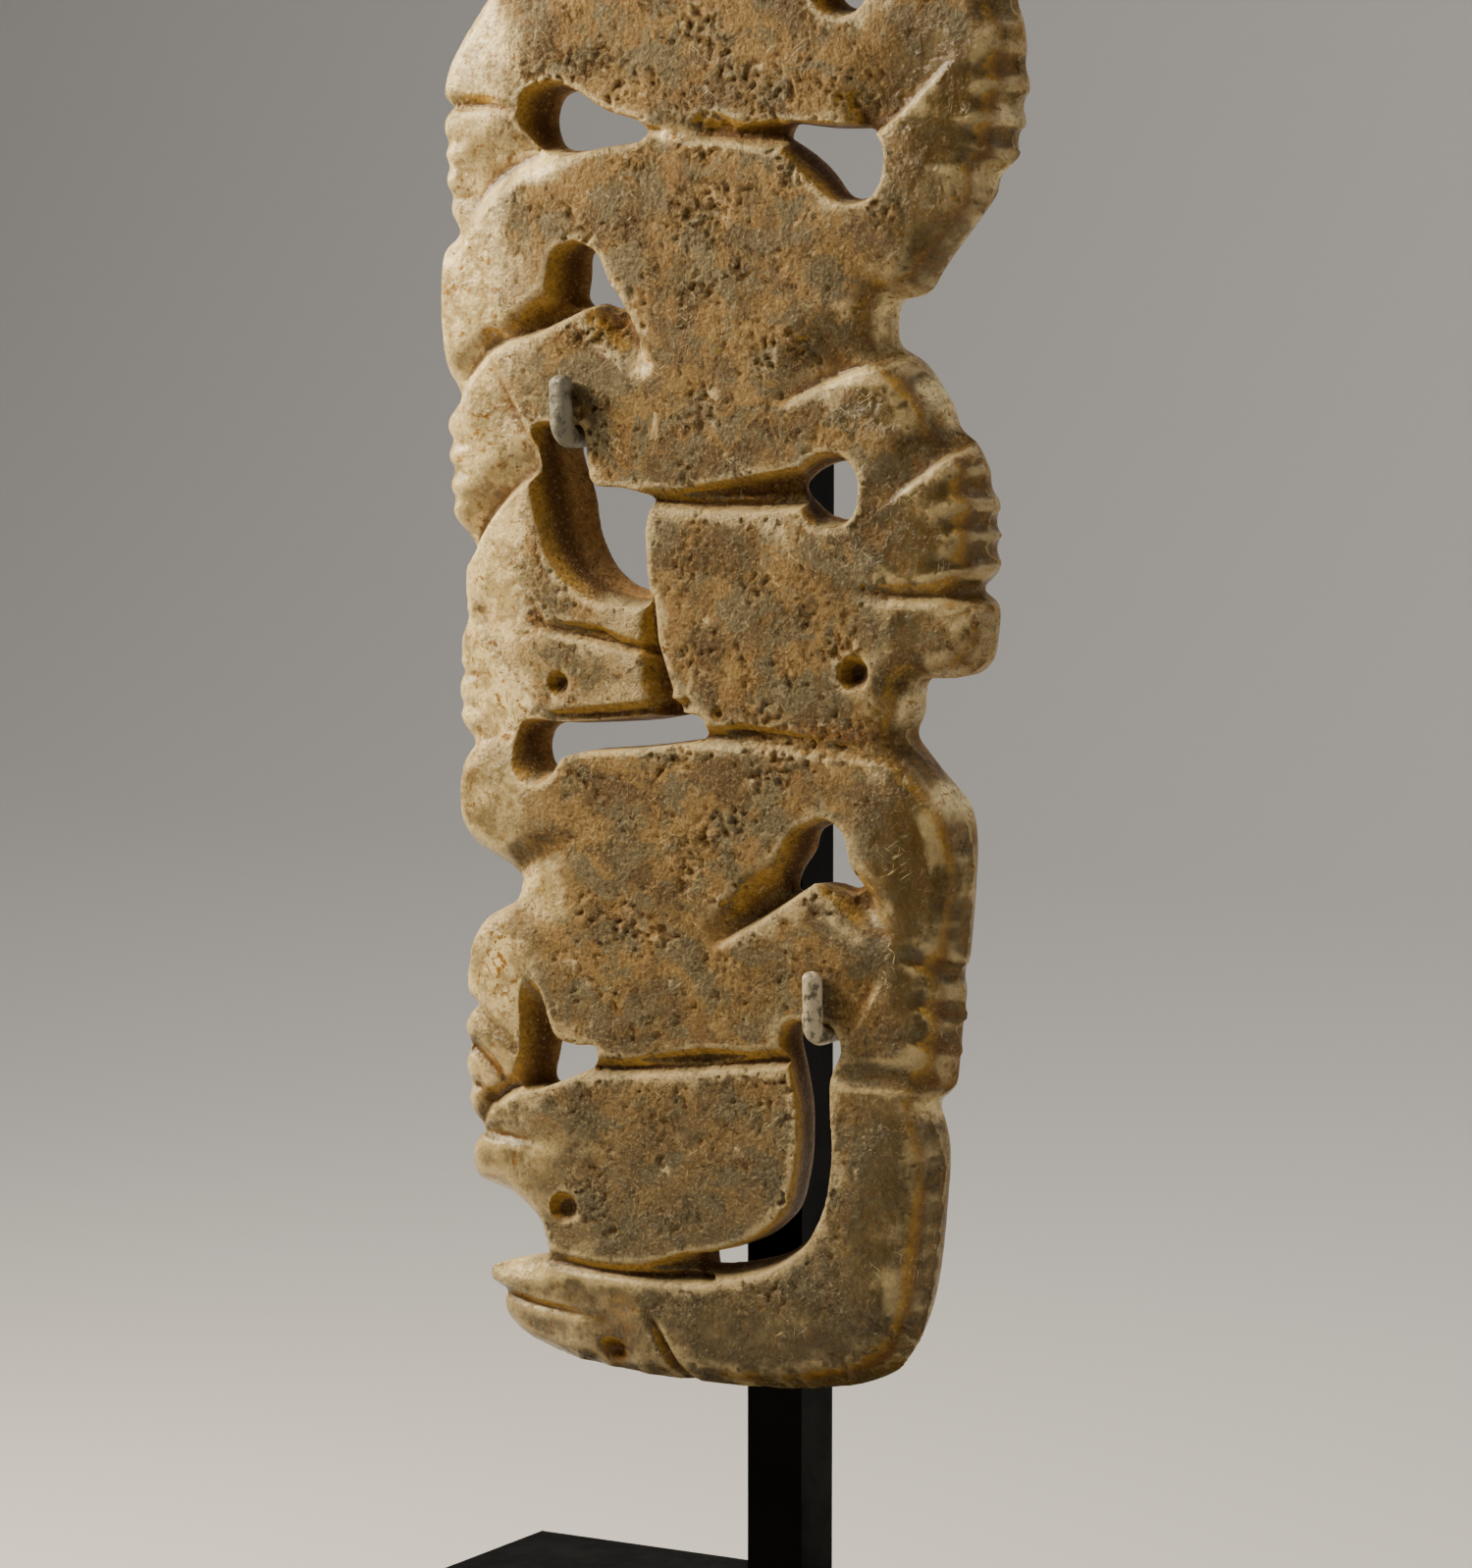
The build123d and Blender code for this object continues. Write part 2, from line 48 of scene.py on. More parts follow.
# Carved stone: the blank
# One flat slab of nephrite, sawn out and pierced, its edge ground round on both sides.
# The slab is taken from the frame as it is and given a close, even skin to carve.
stone_low, stone_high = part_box("pendant")
stone_low, stone_high = np.array(stone_low), np.array(stone_high)
stone_front, stone_back = stone_low[1], stone_high[1]
stone_thickness = stone_back - stone_front
skin_square = 0.25 * MM
skin_rounds = 2
setting_width = 68 * MM
setting_overhang = 0.011
setting_left = stone_low[0] - setting_overhang * setting_width
setting_foot = stone_low[2]
setting_height = stone_high[2] - stone_low[2]


def even_skin(node, square):
    """Mesh of even squares over a node's solid: its triangles are merged, then remeshed."""
    blank = bpy.data.objects.new("blank", node.data.copy())
    bpy.context.scene.collection.objects.link(blank)
    joined = bmesh.new()
    joined.from_mesh(blank.data)
    bmesh.ops.remove_doubles(joined, verts=joined.verts, dist=1e-6)
    joined.to_mesh(blank.data)
    joined.free()
    remesh = blank.modifiers.new("even skin", "REMESH")
    remesh.mode = "VOXEL"
    remesh.voxel_size = square
    ready = blank.evaluated_get(bpy.context.evaluated_depsgraph_get())
    mesh = bpy.data.meshes.new_from_object(ready)
    bpy.data.objects.remove(blank)
    return mesh


def mesh_points(mesh):
    """The mesh's vertices as an array of three columns."""
    points = np.empty(3 * len(mesh.vertices), np.float32)
    mesh.vertices.foreach_get("co", points)
    return points.reshape(-1, 3).astype(float)


def mesh_edges(mesh):
    """The mesh's edges as an array of two columns of vertex numbers."""
    ends = np.empty(2 * len(mesh.edges), np.int32)
    mesh.edges.foreach_get("vertices", ends)
    return ends.reshape(-1, 2)


def neighbour_mean(values, ends):
    """Mean of each vertex's neighbours: over its edges, the other end's values, added up and
    divided by the number of its edges."""
    count = len(values)
    first, second = ends.T
    degree = np.bincount(ends.ravel(), minlength=count)
    columns = [
        np.bincount(first, column[second], count) + np.bincount(second, column[first], count)
        for column in values.T
    ]
    return np.stack(columns, axis=1) / degree[:, None]


def worn(points, ends, rounds, strength=0.6):
    """Points moved towards their neighbours' mean, round after round, which rounds edges."""
    for _ in range(rounds):
        points = points + strength * (neighbour_mean(points, ends) - points)
    return points


stone_mesh = even_skin(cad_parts["pendant"], skin_square)
stone_points = mesh_points(stone_mesh)
stone_ends = mesh_edges(stone_mesh)
stone_points = worn(stone_points, stone_ends, skin_rounds)


# Carved stone: its rounded edge
# The slab's edge is ground round all the way, notches and fingers included. How far each
# point lies from the edge is read off a fine grid laid over the slab.
plan_square = 0.3 * MM
plan_margin = 6
plan_reach = 14 * MM


def plan_cells(points):
    """Column and row of each point on the plan grid, as fractions."""
    return (
        (points[:, 0] - stone_low[0]) / plan_square + plan_margin,
        (points[:, 2] - stone_low[2]) / plan_square + plan_margin,
    )


def spread(cells):
    """Cells that are set, or whose neighbour above, below, left or right is."""
    wider = cells.copy()
    wider[1:] |= cells[:-1]
    wider[:-1] |= cells[1:]
    wider[:, 1:] |= cells[:, :-1]
    wider[:, :-1] |= cells[:, 1:]
    return wider


def plan_distance(points, farthest):
    """Distance of every plan cell from the air round the slab: the slab's cells are those that
    hold points, the air spreads in from the rim of the grid, and the distance then grows cell
    by cell, straight and slanting steps in turn, up to the farthest that is asked for."""
    column, row = (np.rint(place).astype(int) for place in plan_cells(points))
    shape = (row.max() + 1 + plan_margin, column.max() + 1 + plan_margin)
    stone = np.zeros(shape, bool)
    stone[row, column] = True
    stone = ~spread(~spread(stone))
    air = np.zeros(shape, bool)
    air[0] = True
    while True:
        wider = spread(air) & ~stone
        if (wider == air).all():
            break
        air = wider
    distance = np.where(air, 0.0, farthest)
    for _ in range(int(farthest / plan_square) + 1):
        for shift in ((0, 1), (1, 0), (0, -1), (-1, 0), (1, 1), (1, -1), (-1, 1), (-1, -1)):
            stride = plan_square * math.hypot(*shift)
            distance = np.minimum(distance, np.roll(distance, shift, (0, 1)) + stride)
    for _ in range(2):
        distance = (distance + sum(np.roll(distance, one, 0) + np.roll(distance, one, 1)
                                   for one in (-1, 1))) / 5
    return distance


def read_plan(plan, points):
    """Value of a plan at each point, between its four nearest cells."""
    column, row = plan_cells(points)
    i, j = row.astype(int), column.astype(int)
    down, over = row - i, column - j
    near = plan[i, j] * (1 - over) + plan[i, j + 1] * over
    far = plan[i + 1, j] * (1 - over) + plan[i + 1, j + 1] * over
    return near * (1 - down) + far * down


edge_round_left, edge_round_right = 1.7 * MM, 4.2 * MM
edge_round_back = 1.2 * MM
fuller_reach = 5 * MM
facing_rounds, edge_rounds, edge_wear = 12, 14, 0.8
edge_plan = plan_distance(stone_points, plan_reach)


def soft_ramp(values, low, high):
    """0 below low, 1 above high and an S between."""
    t = np.clip((values - low) / (high - low), 0, 1)
    return t * t * (3 - 2 * t)


def edge_facing(plan, points):
    """How squarely the nearest edge faces left, 1, or right, -1: the plan's slope sideways."""
    step = np.array((1.5 * plan_square, 0, 0))
    return np.clip((read_plan(plan, points + step) - read_plan(plan, points - step))
                   / (3 * plan_square), -1, 1)


def round_drop(distance, radius):
    """How far a quarter-round edge lies below its face, at a distance from the edge."""
    inside = np.clip(radius - distance, 0, 0.98 * radius)
    return radius - np.sqrt(radius ** 2 - inside ** 2)


# How far the left edge stands out over the blank: levels as shares up, and millimetres
FULL_LEFT = (
    (0, 0.80), (16, 0.75), (22, 0.35), (30, 0.30), (32.6, 0.4), (33.4, 1.5), (35, 0.40),
    (41.6, 0.1), (42.5, 0.95), (43.4, 0.15), (49.6, 0.15), (50.5, 0.9), (51.4, 0.2),
    (54.6, 0.15), (55.4, 1.4), (56.4, 0.2), (64.6, 0.15), (65.4, 0.8), (66.2, 0.12),
    (75.6, 0.12), (76.6, 0.9), (78.2, 0.6), (79, 0.12), (100, 0.12),
)

stone_facing = edge_facing(edge_plan, stone_points)
stone_facing = worn(stone_facing[:, None], stone_ends, facing_rounds)[:, 0]
from_edge = read_plan(edge_plan, stone_points)
level_up = 100 * (stone_points[:, 2] - setting_foot) / setting_height
fuller = np.interp(level_up, *zip(*FULL_LEFT)) * MM
stone_points[:, 0] -= (
    fuller * np.clip(stone_facing, 0, 1) * np.clip(1 - from_edge / fuller_reach, 0, 1))
edge_round_front = edge_round_left + (edge_round_right - edge_round_left) * np.clip(
    0.5 - stone_facing, 0, 1)
edge_worn = worn(stone_points, stone_ends, edge_rounds)
edge_share = (1 - soft_ramp(from_edge, 0.4 * MM, 2.2 * MM))[:, None]
stone_points += edge_wear * edge_share * (edge_worn - stone_points)


# Carved stone: the relief
# Limbs, heads and hands are ground into the face with sand, as banks and soft valleys.
# Places are shares across and up the slab; drops, reaches and widths are millimetres.
def on_face(points):
    """Shares across and up, 0 to 100, of points on the slab."""
    return (
        100 * (points[:, 0] - setting_left) / setting_width,
        100 * (points[:, 2] - setting_foot) / setting_height,
    )


def beside(across, up, line):
    """Where points lie beside a bent line through three shares: the signed distance to its
    left in millimetres, how far along it, 0 to 1, the plain distance, and how far past its
    ends."""
    share = np.array((setting_width, setting_height)) / 100 / MM
    x, z = across * share[0], up * share[1]
    first, middle, last = np.array(line, float) * share
    bend = 2 * middle - (first + last) / 2
    t = np.linspace(0, 1, 9)[:, None]
    corners = (1 - t) ** 2 * first + 2 * t * (1 - t) * bend + t ** 2 * last
    nearest = np.full(len(x), np.inf)
    side, along, past = np.zeros(len(x)), np.zeros(len(x)), np.zeros(len(x))
    runs = len(corners) - 1
    for i, (start, end) in enumerate(zip(corners[:-1], corners[1:])):
        dx, dz = end - start
        run = math.hypot(dx, dz)
        reach = ((x - start[0]) * dx + (z - start[1]) * dz) / run ** 2
        held = np.clip(reach, 0, 1)
        off_x, off_z = x - start[0] - held * dx, z - start[1] - held * dz
        distance = np.hypot(off_x, off_z)
        closer = distance < nearest
        nearest = np.where(closer, distance, nearest)
        side = np.where(closer, np.sign(dx * off_z - dz * off_x) * distance, side)
        along = np.where(closer, (i + held) / runs, along)
        past = np.where(closer, np.abs(reach - held) * run, past)
    return side, along, nearest, past


# Millimetres past its ends over which a bank dies away
past_fade = 1.6


def bank(across, up, line, drops, reaches, edge):
    """The side to the left of a line lies lower. The drop and the reach over which the face
    comes up again are given at the line's start, middle and end. Past either end of the line
    both die away."""
    side, along, _, past = beside(across, up, line)
    drop = np.interp(along, (0, 0.5, 1), drops)
    reach = np.interp(along, (0, 0.5, 1), reaches)
    down = soft_ramp(side, -edge, edge)
    away = 1 - soft_ramp(side / reach, 0.12, 1.0)
    return drop * down * away * np.exp(-((past / past_fade) ** 2))


def valley(across, up, line, width, depths):
    """A round-bottomed valley with round ends: a bell of the distance to its line. The depth
    is given at the line's start, middle and end."""
    _, along, nearest, _ = beside(across, up, line)
    return np.interp(along, (0, 0.5, 1), depths) * np.exp(-((nearest / width) ** 2))


def swell(across, up, middle, radii, rise):
    """A low dome, or a hollow where the rise is negative: a bell over an ellipse."""
    u, v = (across - middle[0]) / radii[0], (up - middle[1]) / radii[1]
    return -rise * np.exp(-(u * u + v * v))


# Each bank: its line with the low side on the left, drops, reaches and the bank's half width
BANKS = (
    # upper left: wrist, and the arm that passes in front of the hand
    (((5.0, 84.2), (9.5, 84.2), (15.5, 84.1)), (1.0, 1.2, 0.4), (2.2, 2.0, 1.5), 0.5),
    (((5.0, 75.2), (12.0, 79.0), (24.0, 81.2)), (1.5, 2.0, 1.5), (6.0, 7.5, 6.0), 1.1),
    # between the two upper openings
    (((44.0, 82.3), (53.0, 82.2), (62.0, 81.9)), (0.3, 1.2, 1.9), (2.4, 2.4, 2.8), 0.3),
    # upper right: hand, its fingers and the wrist under it
    (((76.2, 82.6), (82.0, 84.6), (90.0, 87.9)), (1.8, 1.3, 0.1), (7.0, 9.0, 8.0), 0.3),
    (((81.0, 81.6), (90.0, 80.5), (97.0, 80.5)), (0.0, 0.8, 1.2), (4.0, 5.0, 4.0), 0.8),
    # elbow and the middle left hand
    (((37.6, 68.4), (36.0, 70.0), (33.2, 72.2)), (0.2, 1.4, 2.4), (3.0, 4.5, 5.0), 0.3),
    (((4.4, 64.8), (8.0, 66.9), (12.0, 68.4)), (1.1, 1.0, 0.7), (3.5, 3.5, 3.0), 0.5),
    (((12.0, 68.4), (20.0, 69.7), (28.5, 71.4)), (0.8, 2.2, 2.8), (3.0, 3.8, 4.5), 0.35),
    (((19.0, 62.2), (15.5, 64.8), (11.5, 67.8)), (0.8, 0.8, 0.4), (7.0, 7.0, 6.0), 0.35),
    (((7.2, 54.9), (12.5, 58.0), (19.2, 60.2)), (2.0, 2.0, 1.5), (4.0, 5.0, 4.5), 0.5),
    # line between the two heads
    (((38.8, 58.5), (52.0, 58.3), (65.5, 58.8)), (1.3, 1.9, 2.4), (2.0, 2.6, 4.2), 0.25),
    # right shoulder and the facet beside it
    (((61.5, 65.2), (70.0, 67.0), (79.5, 68.4)), (0.4, 1.9, 0.7), (6.0, 8.0, 6.0), 0.35),
    (((77.6, 67.6), (82.6, 65.7), (87.6, 63.0)), (0.3, 0.8, 0.5), (20.0, 20.0, 20.0), 1.0),
    # middle right hand, its fingers, and the face's cheek and mouth
    (((78.0, 59.0), (84.0, 61.0), (92.0, 63.7)), (0.2, 1.2, 1.0), (4.0, 6.0, 4.0), 0.25),
    (((86.5, 59.3), (91.0, 59.8), (96.5, 60.2)), (0.1, 0.6, 0.9), (1.8, 2.0, 2.0), 0.5),
    (((86.0, 57.2), (91.0, 57.6), (97.0, 58.0)), (0.1, 0.6, 0.9), (1.8, 2.0, 2.0), 0.5),
    (((85.5, 54.7), (90.0, 55.1), (97.0, 55.4)), (0.1, 0.7, 0.9), (1.8, 2.0, 2.0), 0.5),
    (((73.0, 57.4), (76.0, 56.2), (80.5, 54.7)), (0.2, 0.5, 0.3), (9.0, 9.0, 7.0), 0.8),
    (((70.5, 53.2), (82.0, 52.9), (95.5, 53.3)), (0.1, 1.0, 1.3), (1.6, 2.4, 2.4), 0.4),
    # left animal: mouth, cheek, the trench beside it and the small hand
    (((19.5, 50.0), (29.0, 49.3), (38.2, 48.6)), (0.4, 1.2, 1.0), (1.5, 2.0, 1.6), 0.3),
    (((18.6, 43.6), (12.0, 46.6), (6.6, 50.0)), (0.7, 1.0, 1.0), (9.0, 12.0, 9.0), 2.2),
    (((8.0, 50.6), (12.6, 47.4), (19.2, 44.6)), (0.7, 0.7, 0.5), (4.5, 5.0, 4.0), 0.7),
    (((43.8, 44.6), (40.9, 48.4), (40.1, 52.0)), (2.5, 1.9, 0.9), (3.6, 2.8, 1.8), 0.3),
    (((43.5, 45.6), (33.0, 45.0), (23.0, 44.5)), (1.3, 1.3, 0.8), (3.5, 3.5, 3.0), 0.4),
    # belt, and the waist on the left
    (((48.4, 43.0), (60.0, 43.0), (82.5, 42.4)), (1.6, 0.8, 0.3), (2.2, 2.4, 2.8), 0.5),
    (((15.5, 33.0), (21.0, 34.4), (28.5, 35.6)), (1.3, 0.9, 0.0), (4.0, 4.0, 3.0), 1.3),
    # right knee, foot and toes
    (((49.0, 29.2), (57.5, 31.6), (66.5, 34.3)), (0.1, 2.3, 3.0), (3.0, 5.0, 5.0), 0.35),
    (((73.2, 24.8), (76.0, 27.0), (79.4, 29.4)), (0.1, 0.7, 0.1), (4.0, 5.0, 4.0), 0.4),
    (((80.0, 29.8), (86.0, 28.8), (93.0, 27.6)), (0.0, 0.9, 1.2), (2.5, 2.5, 2.5), 0.4),
    (((82.0, 26.9), (87.0, 25.9), (92.5, 24.7)), (0.0, 1.1, 1.3), (2.5, 2.5, 2.5), 0.35),
    (((82.0, 24.5), (87.0, 23.6), (92.5, 22.5)), (0.0, 1.1, 1.3), (2.2, 2.2, 2.2), 0.35),
    (((70.5, 21.4), (79.0, 21.3), (89.5, 20.8)), (0.4, 0.8, 1.2), (2.5, 3.0, 3.0), 0.8),
    # left foot: toes, and the line that runs on from it between foot and head
    (((6.6, 23.9), (10.5, 22.7), (15.5, 21.1)), (0.9, 0.7, 0.2), (2.0, 2.0, 1.6), 0.45),
    (((6.8, 21.0), (10.0, 20.0), (14.0, 18.7)), (0.9, 0.7, 0.2), (2.0, 2.0, 1.6), 0.45),
    (((7.4, 18.4), (9.5, 17.7), (12.0, 16.9)), (0.8, 0.6, 0.2), (1.8, 1.8, 1.4), 0.45),
    (((9.0, 16.6), (13.0, 18.2), (21.0, 19.7)), (0.9, 1.3, 0.9), (2.0, 2.2, 2.0), 0.4),
    (((28.0, 20.4), (44.0, 21.1), (62.0, 22.2)), (1.2, 1.0, 1.2), (2.0, 1.8, 2.2), 0.3),
    # lower head and the jaws at the foot
    (((9.4, 15.3), (14.0, 15.2), (21.5, 15.2)), (1.1, 0.8, 0.1), (2.5, 2.5, 2.0), 0.5),
    (((21.4, 7.1), (34.0, 6.8), (48.0, 7.1)), (0.9, 1.1, 2.4), (1.8, 1.7, 2.8), 0.3),
    (((12.4, 4.4), (20.0, 3.9), (31.0, 3.8)), (0.8, 0.6, 0.3), (1.5, 1.4, 1.1), 0.25),
    (((45.2, -0.4), (41.6, 2.3), (38.0, 5.3)), (1.2, 1.1, 0.2), (1.7, 1.6, 1.0), 0.3),
)
# Each valley: its line, half width and depths
VALLEYS = (
    (((29.6, 71.9), (34.0, 70.1), (37.8, 67.8)), 1.4, (0.8, 0.8, 0.5)),
    (((66.0, 73.8), (76.0, 73.0), (85.0, 71.8)), 2.6, (0.1, 0.6, 0.6)),
    (((7.0, 42.3), (10.0, 42.5), (13.5, 43.0)), 1.3, (0.8, 0.6, 0.2)),
    (((70.4, 34.7), (73.6, 33.4), (77.6, 31.6)), 1.6, (2.2, 1.8, 0.9)),
    (((1.9, 82.0), (5.5, 82.2), (9.0, 82.4)), 0.8, (0.5, 0.4, 0.0)),
    (((2.0, 80.5), (5.5, 80.3), (8.5, 80.0)), 0.8, (0.5, 0.4, 0.0)),
    (((2.6, 78.3), (5.0, 78.5), (7.5, 78.8)), 0.8, (0.5, 0.4, 0.0)),
    (((2.6, 62.2), (5.5, 62.1), (8.5, 61.9)), 0.7, (0.5, 0.45, 0.0)),
    (((3.0, 60.2), (6.0, 60.1), (9.0, 59.9)), 0.7, (0.5, 0.45, 0.0)),
    (((3.0, 58.3), (6.0, 58.4), (8.5, 58.5)), 0.7, (0.5, 0.45, 0.0)),
    (((3.8, 46.6), (6.5, 46.6), (9.0, 46.5)), 0.7, (0.5, 0.4, 0.0)),
    (((3.6, 44.4), (6.5, 44.4), (9.0, 44.6)), 0.7, (0.5, 0.4, 0.0)),
    (((98.3, 87.0), (94.0, 86.5), (87.0, 85.9)), 0.9, (0.6, 0.45, 0.0)),
    (((97.8, 84.4), (94.0, 84.5), (87.0, 84.3)), 0.9, (0.6, 0.45, 0.0)),
    (((97.0, 82.3), (93.0, 82.6), (87.0, 83.0)), 0.9, (0.6, 0.45, 0.0)),
)
# Each swell: its middle, radii in shares, and rise
SWELLS = (
    ((50.0, 83.0), (4.0, 0.7), -0.8),
    ((42.0, 82.9), (4.0, 0.8), -0.3),
    ((31.9, 1.7), (2.0, 0.65), -1.6),
    ((74.6, 33.4), (2.6, 1.0), -0.8),
    ((10.0, 82.6), (4.5, 1.6), 0.25),
    ((86.0, 76.5), (6.0, 3.0), -0.5),
    ((84.0, 66.0), (4.5, 1.6), 0.2),
    ((12.0, 31.8), (6.0, 2.0), -0.4),
    ((85.0, 50.3), (6.0, 2.2), -0.25),
)


def carved_depth(points):
    """How far the face is ground down at each point, in millimetres."""
    across, up = on_face(points)
    depth = np.zeros(len(points))
    for line, drops, reaches, edge in BANKS:
        depth += bank(across, up, line, drops, reaches, edge)
    for line, width, depths in VALLEYS:
        depth += valley(across, up, line, width, depths)
    for middle, radii, rise in SWELLS:
        depth += swell(across, up, middle, radii, rise)
    return depth


def hand_ground(points, length, height, seed):
    """The slight unevenness of a face ground by hand: waves in many directions added up."""
    draw = np.random.default_rng(seed)
    total = np.zeros(len(points))
    for _ in range(9):
        angle, phase = draw.uniform(0, 2 * math.pi, 2)
        wave = length * draw.uniform(0.7, 1.8)
        way = points[:, 0] * math.cos(angle) + points[:, 2] * math.sin(angle)
        total += np.sin(2 * math.pi * way / wave + phase)
    return height * total / 3


# Each patch: its middle and radii in shares, how smooth, how pale and how earthy it is; pale
# counts painted highlights too, and earthy painted shade
PATCHES = (
    ((5.0, 89.0), (11.0, 6.5), 0.8, 1.15, 0),
    ((7.0, 80.5), (9.0, 5.0), 1.0, 0.75, 0),
    ((5.0, 71.5), (12.0, 8.0), 0.9, 1.0, 0),
    ((7.0, 60.5), (12.0, 7.5), 1.0, 0.85, 0),
    ((9.0, 52.5), (9.5, 5.0), 0.9, 1.15, 0),
    ((8.0, 45.5), (10.0, 4.5), 1.0, 1.35, 0),
    ((10.0, 37.5), (11.5, 5.0), 0.8, 0.45, 0),
    ((19.0, 32.4), (6.5, 2.4), 0.7, 0.7, 0),
    ((11.0, 26.5), (8.5, 5.0), 0.9, 0.75, 0),
    ((10.0, 19.5), (7.0, 3.5), 1.0, 0.6, 0),
    ((13.0, 14.0), (13.0, 4.5), 0.9, 0.45, 0),
    ((25.0, 4.0), (19.0, 5.0), 0.9, 0.32, 0),
    ((62.0, 2.5), (34.0, 4.5), 0.7, 0.15, 0),
    ((80.0, 12.0), (9.0, 12.0), 0.8, 0.15, 0),
    ((84.0, 33.0), (9.0, 13.0), 0.9, 0.0, 0),
    ((80.0, 66.0), (11.0, 3.0), 0.8, 0.05, 0),
    ((86.0, 57.0), (12.0, 6.0), 0.9, 0.10, 0),
    ((84.0, 51.0), (12.0, 3.0), 0.6, 0.08, 0),
    ((88.0, 84.0), (13.0, 7.0), 0.8, 0.10, 0),
    ((86.0, 75.5), (10.0, 3.5), 0.7, 0.10, 0),
    # pale, rubbed places on the right and along the openings, and painted highlights on lit lips,
    # facets and edges
    ((78.4, 70.6), (4.2, 2.2), 1.0, 1.3, 0),
    ((82.2, 45.8), (3.2, 1.6), 1.0, 1.2, 0),
    ((96.0, 84.0), (2.6, 1.2), 1.0, 0.7, 0),
    ((93.2, 80.0), (3.6, 1.2), 1.0, 1.1, 0),
    ((89.5, 76.0), (6.0, 2.4), 0.9, 0.35, 0),
    ((83.6, 66.3), (2.4, 1.0), 1.0, 1.1, 0),
    ((86.4, 64.8), (2.4, 0.9), 1.0, 1.0, 0),
    ((87.0, 40.4), (3.0, 1.8), 1.0, 0.9, 0),
    ((90.0, 36.0), (4.0, 5.0), 0.8, 0.12, 0),
    ((84.0, 19.8), (5.0, 0.9), 1.0, 0.8, 0),
    ((71.0, 67.2), (7.0, 0.8), 0.9, 0.9, 0),
    ((18.0, 80.6), (7.0, 1.4), 0.9, 0.9, 0),
    ((42.0, 82.7), (5.0, 0.6), 0.9, 0.9, 0),
    ((77.0, 32.2), (3.4, 0.8), 0.9, 0.5, 0),
    ((37.6, 67.6), (2.0, 0.9), 1.0, 1.3, 0),
    ((16.0, 6.4), (8.0, 1.0), 0.9, 0.8, 0),
    ((13.0, 56.6), (6.0, 1.6), 0.9, 1.0, 0),
    # earth between the toes and over the jaws, and painted shade in grooves, trenches, the eye and
    # under overhanging edges
    ((13.6, 20.0), (3.2, 1.6), 0.4, 0, 0.9),
    ((9.3, 18.9), (2.4, 3.0), 0.4, 0, 0.45),
    ((33.0, 2.6), (5.0, 3.6), 0.4, 0, 0.45),
    ((12.6, 67.4), (3.4, 1.2), 0.4, 0, 0.35),
    ((40.0, 48.0), (2.0, 4.0), 0.0, 0, 0.7),
    ((19.0, 50.7), (1.6, 0.6), 0.4, 0, 0.8),
    ((33.0, 44.6), (11.0, 0.6), 0.4, 0, 0.7),
    ((34.0, 70.4), (4.0, 1.4), 0.4, 0, 0.7),
    ((55.0, 82.7), (8.0, 0.8), 0.4, 0, 0.95),
    ((56.0, 59.5), (9.0, 0.7), 0.4, 0, 0.95),
    ((68.0, 44.1), (14.0, 0.6), 0.4, 0, 0.85),
    ((31.9, 1.7), (2.0, 0.7), 0.4, 0, 0.9),
    ((73.0, 33.8), (3.6, 0.9), 0.4, 0, 0.7),
    ((12.5, 58.8), (6.0, 0.7), 0.6, 0, 0.55),
    ((17.0, 69.8), (6.0, 0.8), 0.4, 0, 0.55),
    ((19.8, 58.0), (1.4, 5.5), 0.4, 0, 0.5),
)


def patch_shares(points):
    """How smooth, how pale, with painted highlights, and how earthy, with painted shade, each
    point is: the strongest of all patches that reach it, each fading out as a flat-topped bell."""
    across, up = on_face(points)
    shares = np.zeros((3, len(points)))
    for middle, radii, *strengths in PATCHES:
        u, v = (across - middle[0]) / radii[0], (up - middle[1]) / radii[1]
        fade = np.exp(-((u * u + v * v) ** 1.3))
        shares = np.maximum(shares, np.array(strengths)[:, None] * fade)
    return shares


# Where the face has crumbled away: middles and radii in shares, and how strongly
CRUMBLED = (
    ((46.0, 77.4), (5.5, 1.8), 1.0), ((38.0, 81.0), (3.4, 1.0), 0.9),
    ((47.5, 81.2), (4.0, 0.6), 0.8), ((56.5, 79.5), (1.8, 0.8), 0.9),
    ((46.0, 72.4), (3.0, 0.8), 0.8), ((54.8, 73.8), (2.6, 0.8), 0.9),
    ((30.0, 87.2), (7.0, 1.4), 0.9), ((65.0, 51.5), (4.0, 1.0), 0.9),
    ((40.0, 73.8), (2.0, 0.7), 0.7), ((38.8, 75.6), (2.0, 0.7), 0.7),
    ((50.6, 75.6), (1.8, 0.8), 0.8), ((26.0, 69.6), (3.0, 1.0), 0.8),
    ((52.0, 88.5), (5.0, 1.2), 0.7), ((47.0, 36.0), (6.0, 1.6), 0.7),
    ((34.0, 30.0), (5.0, 1.6), 0.6), ((60.0, 64.0), (4.0, 1.2), 0.7),
    ((32.0, 64.6), (3.0, 1.4), 0.7), ((56.0, 69.0), (5.0, 1.2), 0.6),
    ((47.0, 55.0), (4.0, 1.6), 0.7), ((28.0, 40.5), (4.0, 0.8), 0.8),
    ((40.0, 18.0), (6.0, 1.6), 0.5), ((55.0, 28.0), (5.0, 1.2), 0.7),
    ((66.0, 86.0), (6.0, 1.4), 0.6), ((20.0, 55.6), (1.2, 2.4), 0.7),
    ((44.0, 11.0), (6.0, 1.2), 0.5), ((63.0, 47.0), (4.0, 1.2), 0.6),
)


def crumbled_share(points):
    """How far the face has crumbled at each point: bells over ellipses, the strongest kept."""
    across, up = on_face(points)
    share = np.zeros(len(points))
    for middle, radii, strength in CRUMBLED:
        u, v = (across - middle[0]) / radii[0], (up - middle[1]) / radii[1]
        share = np.maximum(share, strength * np.exp(-(u * u + v * v)))
    return share


lattice_rows, lattice_columns = 97, 89


